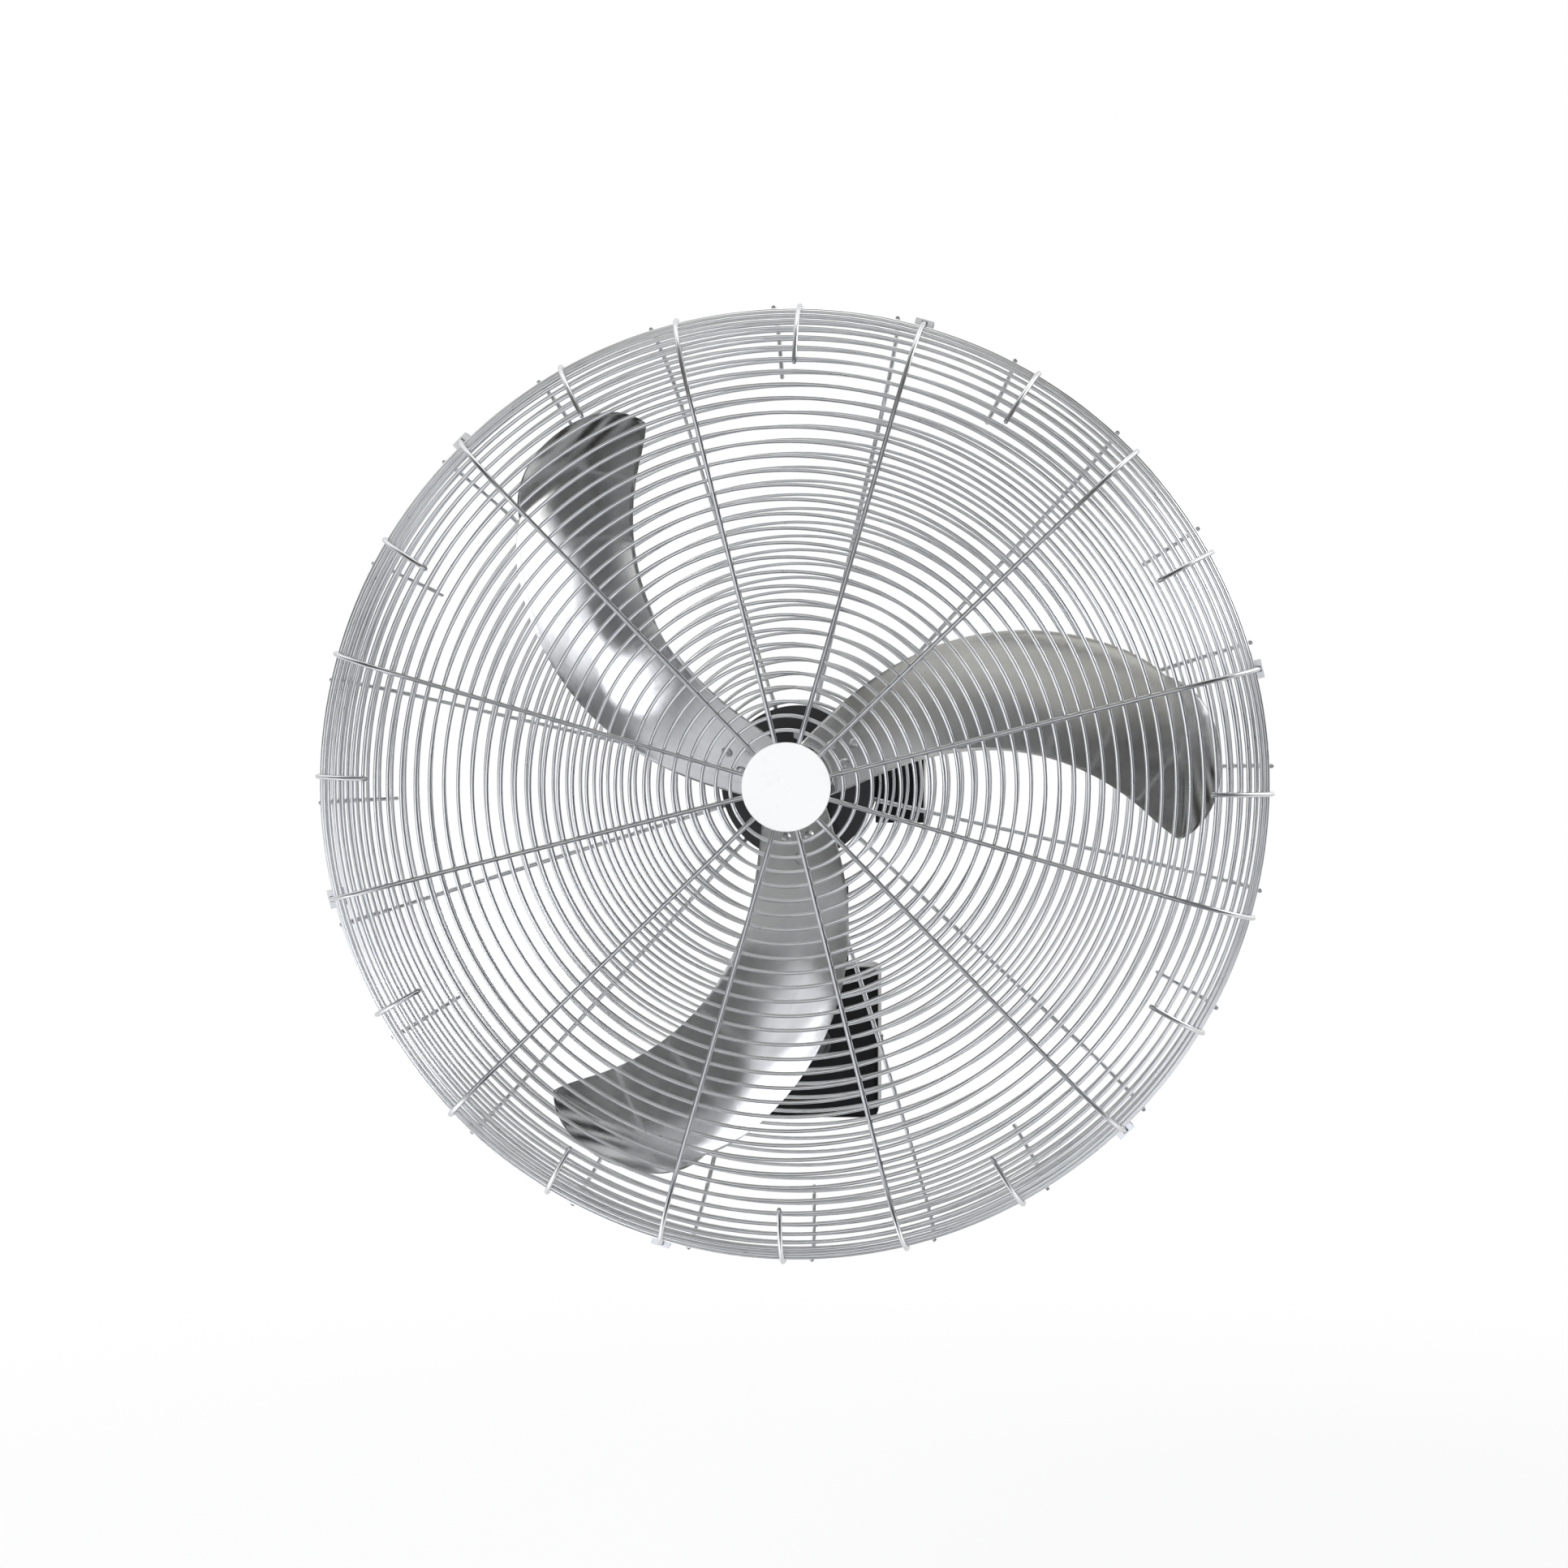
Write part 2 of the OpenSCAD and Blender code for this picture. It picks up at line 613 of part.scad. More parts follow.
// Capacitor box on the motor's side, open outwards under its lid
module capacitor_box() color("#232326") translate([cap_box_x, 0, 0]) on_axis(cap_box_s) difference() {
    translate([0, -cap_box_h / 2, 0]) cube([cap_box_w, cap_box_h, cap_box_l]);
    difference() {
        translate([cap_wall, -cap_box_h / 2 + cap_wall, cap_wall])
            cube([cap_box_w, cap_box_h - 2 * cap_wall, cap_box_l - 2 * cap_wall]);
        for (y = [0, 1], z = [0, 1]) mirror([0, y, 0]) translate([0, 0, z * cap_box_l / 2]) mirror([0, 0, z])
            translate([0, cap_box_h / 2 - post_w, -z * cap_box_l / 2]) cube([cap_box_w + 1, post_w, post_w]);
    }
    translate([cap_box_w + 1, 0, cap_box_l / 2]) for (y = [-1, 1], z = [-1, 1])
        translate([0, y * (cap_box_h / 2 - lid_screw_in), z * (cap_box_l / 2 - lid_screw_in)])
            rotate([0, -90, 0]) cylinder(r = lid_screw_r + screw_gap, h = 12);
}

module lid_corners() for (y = [-1, 1], z = [-1, 1])
    translate([cap_box_x + cap_box_w, 0, 0]) on_axis(cap_box_s + cap_box_l / 2)
        translate([0, y * (cap_box_h / 2 - lid_screw_in), z * (cap_box_l / 2 - lid_screw_in)])
            rotate([0, 90, 0]) children();

module capacitor_lid() color("#232326") difference() {
    translate([cap_box_x + cap_box_w + touch, 0, 0]) on_axis(cap_box_s)
        translate([0, -cap_box_h / 2, 0]) cube([lid_t, cap_box_h, cap_box_l]);
    lid_corners() translate([0, 0, -1]) cylinder(r = lid_screw_r + screw_gap, h = lid_t + 3);
}

module lid_screws() color("silver") lid_corners() translate([0, 0, lid_t + 2 * touch])
    pan_screw(lid_screw_r, lid_t + 6, 3.4, 2);

module capacitor() color("gainsboro") translate([cap_box_x + cap_wall + seat + capacitor_r, 0, 0])
    on_axis(cap_box_s + cap_wall + 4) {
        cylinder(r = capacitor_r, h = cap_box_l - 2 * cap_wall - 12);
        for (x = [-6, 6]) translate([x - 0.5, -3, 0]) cube([1, 6, cap_box_l - 2 * cap_wall - 5]);
    }

// Gear case, with its foot on the swivel pin and the clutch knob on top
module gear_case() color("#1d1d1f") difference() {
    union() {
        on_axis(swivel_s - gear_back) cylinder(r = gear_r, h = gear_back + gear_fwd);
        on_axis(gear_front_s - flange_t) cylinder(r = gear_flange_r, h = flange_t);
        on_axis(swivel_s - gear_back - 3) cylinder(r1 = gear_r - 5, r2 = gear_r, h = 3.01);
        translate([0, -swivel_s, axis_h - gear_foot]) cylinder(r = 20, h = gear_foot);
        translate([0, -swivel_s, axis_h]) cylinder(r = 12, h = gear_r + clutch_boss_h);
    }
    translate([0, -swivel_s, axis_h - gear_foot - 1]) cylinder(r = pin_r + run, h = pin_reach + 2);
    translate([0, -swivel_s, axis_h + gear_r + clutch_boss_h - clutch_stem - 3])
        cylinder(r = clutch_r + run, h = clutch_stem + 4);
    on_axis(gear_front_s - shaft_tail - 2) cylinder(r = shaft_r + 1.5, h = shaft_tail + 6);
    for (k = [0 : 3]) on_axis(gear_front_s - flange_t - 1) rotate([0, 0, 90 * k])
        translate([gear_screw_r, 0, 0]) cylinder(r = screw_r + screw_gap, h = flange_t + 4);
}

module gear_case_screws() color("silver") for (k = [0 : 3]) on_axis(gear_front_s - flange_t - touch)
    rotate([0, 0, 90 * k]) translate([gear_screw_r, 0, 0]) mirror([0, 0, 1])
        pan_screw(screw_r, case_screw_l, screw_head_r, screw_head_h);

module swivel_pin() color("silver") translate([0, -swivel_s, neck_top - barrel_h]) {
    cylinder(r = pin_r, h = barrel_h + seat + pin_reach);
    translate([0, 0, -nut_h - 4]) cylinder(r = pin_r - 2, h = nut_h + 4.01);
}

module swivel_nut() color("silver") translate([0, -swivel_s, neck_top - barrel_h - nut_h - seat])
    hex_nut(pin_r - 2 + run, pin_r + 2.4, nut_h);

module clutch_knob() color("#2b2b2e") translate([0, -swivel_s, axis_h + gear_r + clutch_boss_h]) {
    translate([0, 0, -clutch_stem]) cylinder(r = clutch_r, h = clutch_stem + 1);
    rotate_extrude() {
        translate([0, seat]) square([6, 4]);
        translate([0, 4]) square([9.5, 6]);
        translate([0, 4]) square([7.5, 8]);
        translate([7.5, 10]) circle(r = 2, $fn = 24);
    }
}

// Neck between the gear case and the bracket: a bushed barrel over a cross lug
module neck() color("#1d1d1f") translate([0, -swivel_s, 0]) difference() {
    union() {
        translate([0, 0, neck_top - barrel_h]) cylinder(r = barrel_r, h = barrel_h);
        translate([-lug_w / 2, 0, tilt_h]) rotate([0, 90, 0]) cylinder(r = barrel_r, h = lug_w);
        for (x = [-1, 1]) translate([x * (lug_w / 2 - 2) - 2, -12, tilt_h])
            cube([4, 24, neck_top - 6 - tilt_h]);
        for (x = [0, 1]) mirror([x, 0, 0]) translate([0, -12, neck_top - barrel_h])
            cube([lug_w / 2, 24, barrel_h - 6]);
    }
    translate([0, 0, neck_top - barrel_h - 1]) cylinder(r = pin_r + bush_t + run, h = barrel_h + 2);
    translate([-lug_w / 2 - 1, 0, tilt_h]) rotate([0, 90, 0]) cylinder(r = tilt_bolt_r + run, h = lug_w + 2);
}

module swivel_bush() color("goldenrod") translate([0, -swivel_s, neck_top - barrel_h])
    tube(pin_r + bush_t, pin_r + run, barrel_h);

// Bracket
module arm_side(x) translate([x, 0, 0]) rotate([90, 0, -90]) mirror([0, 0, 1])
    linear_extrude(ear_t) difference() {
    union() {
        polygon([
            [plate_t + touch, arm_low], [swivel_s, tilt_h - ear_r],
            [swivel_s, tilt_h + ear_r], [plate_t + touch, arm_high + 6]
        ]);
        translate([swivel_s, tilt_h]) circle(r = ear_r);
    }
    translate([swivel_s, tilt_h]) circle(r = tilt_bolt_r + screw_gap);
}

arm_reach = swivel_s - barrel_r - 18;

module bracket_arm() color("#1d1d1f") difference() {
    union() {
        arm_side(arm_in);
        arm_side(-arm_in - ear_t);
        rise = (tilt_h - ear_r - arm_low) / (swivel_s - plate_t);
        rotate([90, 0, -90]) translate([0, 0, -arm_in - 0.01]) linear_extrude(2 * arm_in + 0.02) polygon([
            [plate_t + touch, arm_low], [arm_reach, arm_low + rise * (arm_reach - plate_t)],
            [arm_reach, arm_low + rise * (arm_reach - plate_t) + web_t], [plate_t + touch, arm_low + web_t]
        ]);
        translate([-tongue_w / 2, -plate_t - touch - ear_t, arm_low])
            cube([tongue_w, ear_t, arm_high + 6 - arm_low]);
    }
    arm_rivet_spots() cylinder(r = arm_rivet_r + run, h = 20, center = true);
}

module arm_rivet_spots() for (x = [-1, 1], z = [arm_low + 12, arm_high - 6])
    translate([x * arm_rivet_x, -plate_t, z]) rotate([90, 0, 0]) children();

module arm_rivets() color("dimgray") arm_rivet_spots() {
    translate([0, 0, -plate_t + 0.5]) cylinder(r = arm_rivet_r, h = plate_t + ear_t + 1);
    translate([0, 0, ear_t + 2 * touch]) cylinder(r1 = arm_head_r, r2 = arm_rivet_r - 0.5, h = 2);
}

module wall_plate() color("#1d1d1f") difference() {
    union() {
        off_wall() linear_extrude(plate_t) {
            rounded(plate_w, plate_h, box_r - box_wall);
            translate([-tongue_w / 2, 0]) square([tongue_w, arm_high + 6]);
        }
        for (x = [-1, 1]) off_wall(plate_t - 0.01) translate([x * (plate_w - tab_t) / 2 - tab_t / 2, -10, 0])
            cube([tab_t, 20, tab_l]);
    }
    for (x = [-1, 1], z = [-1, 1]) off_wall(-1) translate([x * wall_bolt_x / 2, z * wall_bolt_z / 2, 0])
        cylinder(r = wall_hole_r, h = plate_t + 2);
    arm_rivet_spots() cylinder(r = arm_rivet_r + run, h = 20, center = true);
    for (x = [-1, 1]) translate([x * plate_w / 2, -plate_t - tab_l + 7, 0]) rotate([0, 90, 0])
        cylinder(r = screw_r + screw_gap, h = 12, center = true);
}

// Places a child at the cable gland in the side of the switch box, with +Z into the box
module at_gland() translate([-box_w / 2, -gland_s, gland_z]) rotate([0, 90, 0]) children();

// Switch box cover, open to the wall
module box_cover() color("#161618") difference() {
    off_wall(0.5) linear_extrude(box_d - 0.5) rounded(box_w, box_h, box_r);
    off_wall(-0.5) linear_extrude(box_d - box_wall + 0.5)
        rounded(box_w - 2 * box_wall, box_h - 2 * box_wall, box_r - box_wall);
    translate([-tongue_w / 2 - plate_gap, -plate_t - plate_gap, box_h / 2 - box_wall - 1])
        cube([tongue_w + 2 * plate_gap, plate_t + plate_gap + 1, box_wall + 2]);
    off_wall(box_d - box_wall - 1) cylinder(r = switch_bush_r + screw_gap, h = box_wall + 2);
    at_gland() translate([0, 0, -1]) cylinder(r = gland_r - 1 + screw_gap, h = box_wall + 2);
    for (x = [-1, 1]) translate([x * box_w / 2, -plate_t - tab_l + 7, 0]) rotate([0, 90, 0])
        cylinder(r = screw_r + screw_gap, h = 2 * box_wall + 2, center = true);
}

module cover_screws() color("silver") for (x = [0, 1]) mirror([x, 0, 0])
    translate([box_w / 2 + touch, -plate_t - tab_l + 7, 0]) rotate([0, 90, 0])
        pan_screw(screw_r, box_wall + plate_gap + 4, screw_head_r, screw_head_h);

module terminal_block() color("ivory") off_wall(plate_t + touch) translate([0, 22 - plate_h / 2, 0])
    difference() {
        translate([-22, 0, 0]) cube([44, 16, 15]);
        for (x = [-16.5, -5.5, 5.5, 16.5]) translate([x, 8, 6]) cylinder(r = 3, h = 10);
    }

module speed_switch() color("dimgray") off_wall(box_d - box_wall - seat - switch_d) difference() {
    union() {
        translate([-switch_w / 2, -switch_w / 2, 0]) cube([switch_w, switch_w, switch_d]);
        cylinder(r = switch_bush_r, h = switch_d + seat + box_wall + 3.5);
    }
    translate([0, 0, 5]) cylinder(r = stem_r + run, h = switch_d + box_wall + 4);
}

module switch_nut() color("silver") off_wall(box_d + touch)
    hex_nut(switch_bush_r + run, switch_bush_r + 3, 2.5);

module switch_stem() color("silver") off_wall(box_d - box_wall - seat - switch_d + 6)
    cylinder(r = stem_r, h = switch_d - 6 + seat + box_wall + 12);

module speed_knob() color("gray") off_wall(box_d + part_gap) difference() {
    union() {
        cylinder(r = knob_r, h = 3);
        translate([0, 0, 2.9]) cylinder(r1 = knob_r - 3, r2 = knob_r - 4.5, h = knob_h - 2.9);
        translate([-1.5, knob_r - 6, 3]) cube([3, 4, knob_h - 4]);
    }
    translate([0, 0, -1]) cylinder(r = stem_r + run, h = 13);
    translate([0, 0, -1]) cylinder(r = switch_bush_r + 4, h = 5);
}

module cable_gland() color("#161618") at_gland() difference() {
    union() {
        translate([0, 0, box_wall + touch]) cylinder(r = gland_r + 2, h = 4, $fn = 6);
        translate([0, 0, -1]) cylinder(r = gland_r - 1, h = box_wall + 6);
        translate([0, 0, -6 - touch]) cylinder(r = gland_r + 2, h = 6, $fn = 6);
        translate([0, 0, -16]) cylinder(r1 = gland_r - 3, r2 = gland_r, h = 10.1);
    }
    translate([0, 0, -20]) cylinder(r = gland_bore, h = 40);
}

// Tilt clamp
module tilt_bolt() color("silver") translate([ear_out + washer_t + 2 * touch, -swivel_s, tilt_h])
    rotate([0, 90, 0]) hex_bolt(tilt_bolt_r, 2 * ear_out + 2 * washer_t + 14, tilt_bolt_r + 4, 6);

module tilt_nut() color("silver") translate([-ear_out - washer_t - 2 * touch - nut_h, -swivel_s, tilt_h])
    rotate([0, 90, 0]) hex_nut(tilt_bolt_r + run, tilt_bolt_r + 4, nut_h);

module tilt_washers() color("silver") for (x = [0, 1]) mirror([x, 0, 0])
    translate([ear_out + touch, -swivel_s, tilt_h]) rotate([0, 90, 0])
        tube(tilt_bolt_r + 6, tilt_bolt_r + run, washer_t);

wall_plate();
bracket_arm();
arm_rivets();
box_cover();
cover_screws();
terminal_block();
speed_switch();
switch_nut();
switch_stem();
speed_knob();
cable_gland();
tilt_bolt();
tilt_nut();
tilt_washers();
neck();
swivel_bush();
gear_case();
gear_case_screws();
swivel_pin();
swivel_nut();
clutch_knob();
rear_bell();
motor_body();
front_bell();
motor_tie_bolts();
stator_core();
stator_windings();
rear_bearing();
front_bearing();
capacitor_box();
capacitor_lid();
capacitor();
lid_screws();
rear_guard_plate();
rear_guard_bolts();
rear_guard_spokes();
rear_guard_rings();
rear_skirt_rings();
rear_rim_hoop();
front_guard_spokes();
front_guard_rings();
front_skirt_rings();
front_rim_hoop();
guard_clips();
badge_plate();
badge_bolt();
badge();
motor_shaft();
rotor_core();
blade_hub();
hub_set_screws();
hub_washer();
hub_nut();
blade_1();
blade_2();
blade_3();
blade_rivets();
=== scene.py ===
"""The looks of a wall fan. Lengths are in metres. The fan's axis runs along Y, and it blows to -Y."""
import json
import math

import bmesh
import bpy
from mathutils import Matrix, Vector


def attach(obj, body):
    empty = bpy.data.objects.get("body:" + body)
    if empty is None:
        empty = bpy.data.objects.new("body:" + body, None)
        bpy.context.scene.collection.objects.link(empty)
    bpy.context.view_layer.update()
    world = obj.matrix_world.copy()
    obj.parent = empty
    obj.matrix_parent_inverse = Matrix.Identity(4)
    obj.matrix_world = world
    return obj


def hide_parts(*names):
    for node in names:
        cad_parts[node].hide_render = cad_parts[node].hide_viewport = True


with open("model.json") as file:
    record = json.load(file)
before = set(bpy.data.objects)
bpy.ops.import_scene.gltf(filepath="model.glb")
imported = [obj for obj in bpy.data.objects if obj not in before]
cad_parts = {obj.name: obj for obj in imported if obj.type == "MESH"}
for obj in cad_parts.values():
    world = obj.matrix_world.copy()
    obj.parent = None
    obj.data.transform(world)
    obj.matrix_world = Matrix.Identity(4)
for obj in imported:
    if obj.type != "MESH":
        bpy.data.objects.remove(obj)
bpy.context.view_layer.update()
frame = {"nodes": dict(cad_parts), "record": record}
NODES = frame["nodes"]

# ---------------------------------------------------------------- sizes
AXIS_H = 0.249              # the fan's axis over the middle of the wall bolts
RIM_S = 0.4042              # from the wall to the plane where the guard's halves meet
BLADE_S = 0.38825           # from the wall to the middle of the blades
GUARD_R = 0.410             # the axis of a radial wire at the rim
CORNER_R = 0.084            # the bend of a radial wire from the face to the rim
COLLAR = 0.006              # the straight end of a radial wire at the rim
RING_PITCH = 0.0121
RING_R = 0.0016
SPOKE_R = 0.002
HOOP_R = 0.0025
WIRE_GAP = 0.00005          # between wires that cross
RIM_GAP = 0.0005            # between the rim's plane and the wires of each half
SPOKE_COUNT = 24
SPOKE_START = math.radians(14)
REAR_TURN = math.radians(3.3)
STUB_FROM = 70              # where on the bend the short radial wires begin, in degrees from the rim
SKIRT_TURN = 90 - 5         # the skirt's rings lie within so many degrees of the face
BADGE_R, BADGE_GAP = 0.0375, 0.004      # the badge, and the gap from it to the first ring
PLATE_R, PLATE_GAP = 0.068, 0.0015      # the same for the rear half's clamp plate
FRONT_WIRE_IN, REAR_WIRE_IN = 0.014, 0.055      # where the long radial wires begin

FLAT_R = GUARD_R - CORNER_R
WIRE_Z = COLLAR + CORNER_R
RING_BEND = CORNER_R - (SPOKE_R + RING_R + WIRE_GAP)
RING_Z = COLLAR + RING_BEND

WELD_SIZE = (0.00225, 0.0024, 0.0011)
WELD_LIFT = 0.00002
WIRE_END = 0.004            # no weld lies nearer than this to a long radial wire's inner end
STUB_SLACK = 0.02           # a weld may lie so many radians past a short one's end
RIM_WELD_SIZE = (0.0028, 0.0028, 0.0011)
RIM_WELD_SINK = 0.0002
RIM_WELD_Z = 0.0032
FACE_STEPS, SKIRT_STEPS, HOOP_STEPS, HOOP_SIDES = 168, 192, 224, 14


def on_axis(p, s=0.0):
    """A point of the fan's own frame (right, up, forward), with its zero at s from the wall."""
    return Vector((p[0], -(s + p[2]), AXIS_H + p[1]))


# ---------------------------------------------------------------- shader helpers
def link_or_set(tree, socket, value):
    """Links a node's output to a socket, or sets the socket to a number or a colour."""
    if isinstance(value, bpy.types.NodeSocket):
        tree.links.new(value, socket)
    elif isinstance(value, tuple):
        socket.default_value = (*value, 1)
    else:
        socket.default_value = value


def mix_rgb(tree, fac, a, b, blend="MIX"):
    n = tree.nodes.new("ShaderNodeMix")
    n.data_type, n.blend_type = "RGBA", blend
    for key, value in (("Factor", fac), ("A", a), ("B", b)):
        link_or_set(tree, n.inputs[key], value)
    return n.outputs["Result"]


def math_in(tree, operation, *values):
    n = tree.nodes.new("ShaderNodeMath")
    n.operation = operation
    for socket, value in zip(n.inputs, values):
        link_or_set(tree, socket, value)
    return n.outputs[0]


def ranged(tree, value, source, target, curve="LINEAR"):
    """Maps a value from the range source to the range target."""
    n = tree.nodes.new("ShaderNodeMapRange")
    n.interpolation_type = curve
    n.inputs["From Min"].default_value, n.inputs["From Max"].default_value = source
    n.inputs["To Min"].default_value, n.inputs["To Max"].default_value = target
    tree.links.new(value, n.inputs["Value"])
    return n.outputs["Result"]


def smooth(tree, value, source, target=(0.0, 1.0)):
    return ranged(tree, value, source, target, "SMOOTHSTEP")


def noise(tree, vec, scale, detail, rough=0.5):
    n = tree.nodes.new("ShaderNodeTexNoise")
    for key, value in (("Scale", scale), ("Detail", detail), ("Roughness", rough)):
        n.inputs[key].default_value = value
    tree.links.new(vec, n.inputs["Vector"])
    return n.outputs["Fac"]


def bump(tree, height, strength, distance, under=None):
    n = tree.nodes.new("ShaderNodeBump")
    n.inputs["Strength"].default_value = strength
    n.inputs["Distance"].default_value = distance
    tree.links.new(height, n.inputs["Height"])
    if under is not None:
        tree.links.new(under, n.inputs["Normal"])
    return n.outputs["Normal"]


# ---------------------------------------------------------------- materials
NOISE_SPAN = (0.3, 0.7)     # where nearly all of a noise texture's values lie
GRAIN_DEPTH = 0.0004
WAVE_DEPTH = 0.004


def material(name, dark, light, metal, rough, grain, grain_bump, patch,
             spec=0.5, wave=None, stretch=None, use_uv=False):
    """A surface with a fine grain, patches of colour and gloss, and, with wave, a slow waviness.

    grain, patch and wave[1] are the scales of their textures; wave[0] is the strength.
    """
    m = bpy.data.materials.new(name)
    m.use_nodes = True
    tree = m.node_tree
    surface = tree.nodes["Principled BSDF"].inputs
    coords = tree.nodes.new("ShaderNodeTexCoord").outputs
    vec = coords["UV" if use_uv else "Object"]
    if stretch is not None:
        mapping = tree.nodes.new("ShaderNodeMapping")
        mapping.inputs["Scale"].default_value = stretch
        tree.links.new(vec, mapping.inputs["Vector"])
        vec = mapping.outputs["Vector"]
    patches = noise(tree, vec, patch, 4.0)
    fine = noise(tree, vec, grain, 2.0, 0.6)
    shade = ranged(tree, patches, NOISE_SPAN, (0.0, 1.0))
    tree.links.new(mix_rgb(tree, shade, dark, light), surface["Base Color"])
    tree.links.new(ranged(tree, patches, NOISE_SPAN, rough), surface["Roughness"])
    surface["Metallic"].default_value = metal
    surface["Specular IOR Level"].default_value = spec
    under = None
    if wave is not None:
        under = bump(tree, noise(tree, coords["Object"], wave[1], 1.0), wave[0], WAVE_DEPTH)
    tree.links.new(bump(tree, fine, grain_bump, GRAIN_DEPTH, under), surface["Normal"])
    return m


# In each row: name, darker and lighter colour, metallic, roughness from and to, grain, its bump, patches.
SLOT_LOOKS = {
    "guard_wire": material(
        "bright_wire", (0.76, 0.77, 0.78), (0.86, 0.87, 0.88), 1.0, (0.27, 0.35), 700, 0.05, 60),
    "steel": material(
        "zinc_steel", (0.50, 0.51, 0.52), (0.66, 0.66, 0.66), 1.0, (0.26, 0.42), 900, 0.12, 90),
    "blade_metal": material(
        "polished_blade", (0.70, 0.70, 0.69), (0.80, 0.80, 0.79), 1.0, (0.07, 0.12), 260, 0.05, 5,
        wave=(0.08, 7.0), stretch=(1.5, 14.0, 1.0), use_uv=True),
    "hub_metal": material(
        "cast_hub", (0.36, 0.36, 0.37), (0.50, 0.50, 0.51), 1.0, (0.34, 0.5), 500, 0.35, 70),
    "black_casting": material(
        "black_casting", (0.034, 0.034, 0.036), (0.052, 0.052, 0.055), 0.0, (0.34, 0.5), 330, 0.30, 40),
    "black_steel": material(
        "black_paint", (0.010, 0.010, 0.011), (0.020, 0.020, 0.022), 0.0, (0.26, 0.38), 420, 0.16, 25),
    "box_plastic": material(
        "gloss_black", (0.0035, 0.0035, 0.004), (0.006, 0.006, 0.0065), 0.0, (0.22, 0.30), 300, 0.05, 12,
        spec=0.15, wave=(0.03, 14.0)),
    "badge_plastic": material(
        "white_badge", (0.816, 0.816, 0.816), (0.822, 0.822, 0.822), 0.0, (0.27, 0.29), 500, 0.01, 40),
    "knob_plastic": material(
        "dark_knob", (0.045, 0.045, 0.047), (0.07, 0.07, 0.072), 0.0, (0.36, 0.5), 600, 0.15, 60),
    "switch_plastic": material(
        "black_moulding", (0.012, 0.012, 0.013), (0.024, 0.024, 0.026), 0.0, (0.4, 0.55), 600, 0.2, 60),
    "terminal_plastic": material(
        "ivory_moulding", (0.58, 0.53, 0.42), (0.66, 0.61, 0.50), 0.0, (0.4, 0.5), 500, 0.1, 60),
    "lamination": material(
        "laminations", (0.20, 0.20, 0.21), (0.34, 0.34, 0.35), 1.0, (0.35, 0.5), 90, 0.5, 60,
        stretch=(0.2, 30.0, 0.2)),
    "copper": material(
        "winding", (0.34, 0.12, 0.05), (0.52, 0.22, 0.10), 1.0, (0.25, 0.4), 120, 0.6, 60,
        stretch=(1.0, 14.0, 1.0)),
    "bronze": material(
        "sintered_bronze", (0.38, 0.24, 0.09), (0.52, 0.36, 0.16), 1.0, (0.35, 0.5), 800, 0.3, 90),
    "capacitor_can": material(
        "plain_can", (0.56, 0.56, 0.57), (0.68, 0.68, 0.69), 1.0, (0.25, 0.38), 500, 0.1, 40),
}
# A darker copy of the bright wire's look, for the radial wires of the same wire: painted shade that stands
# in for their dimmer reflections.
PAINTED_SHADE_RADIAL_LOOK = material(
    "radial_wire_painted_shade", (0.56, 0.57, 0.58), (0.66, 0.67, 0.68), 1.0, (0.30, 0.40), 700, 0.05, 60)

SLOT_OF = {p["node"]: p["material_slot"] for p in frame["record"]["subparts"]}
for name, obj in NODES.items():
    for s in obj.material_slots:
        s.material = SLOT_LOOKS[SLOT_OF[name]]


# ---------------------------------------------------------------- making pieces
def new_object(name, verts, faces, look, body, node, uv=None):
    """A smooth-shaded piece that rides a body in place of a node."""
    me = bpy.data.meshes.new(name)
    me.from_pydata([tuple(v) for v in verts], [], faces)
    me.update()
    me.materials.append(look)
    for p in me.polygons:
        p.use_smooth = True
    if uv is not None:
        layer = me.uv_layers.new(name="UVMap")
        for loop in me.loops:
            layer.data[loop.index].uv = uv[loop.vertex_index]
    ob = bpy.data.objects.new(name, me)
    bpy.context.scene.collection.objects.link(ob)
    bm = bmesh.new()
    bm.from_mesh(me)
    bmesh.ops.recalc_face_normals(bm, faces=bm.faces)
    bm.to_mesh(me)
    bm.free()
    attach(ob, body)
    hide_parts(node)
    return ob


def round_edges(ob, width, angle):
    bev = ob.modifiers.new("round", "BEVEL")
    bev.width, bev.segments = width, 2
    bev.limit_method, bev.angle_limit = "ANGLE", math.radians(angle)
    return bev


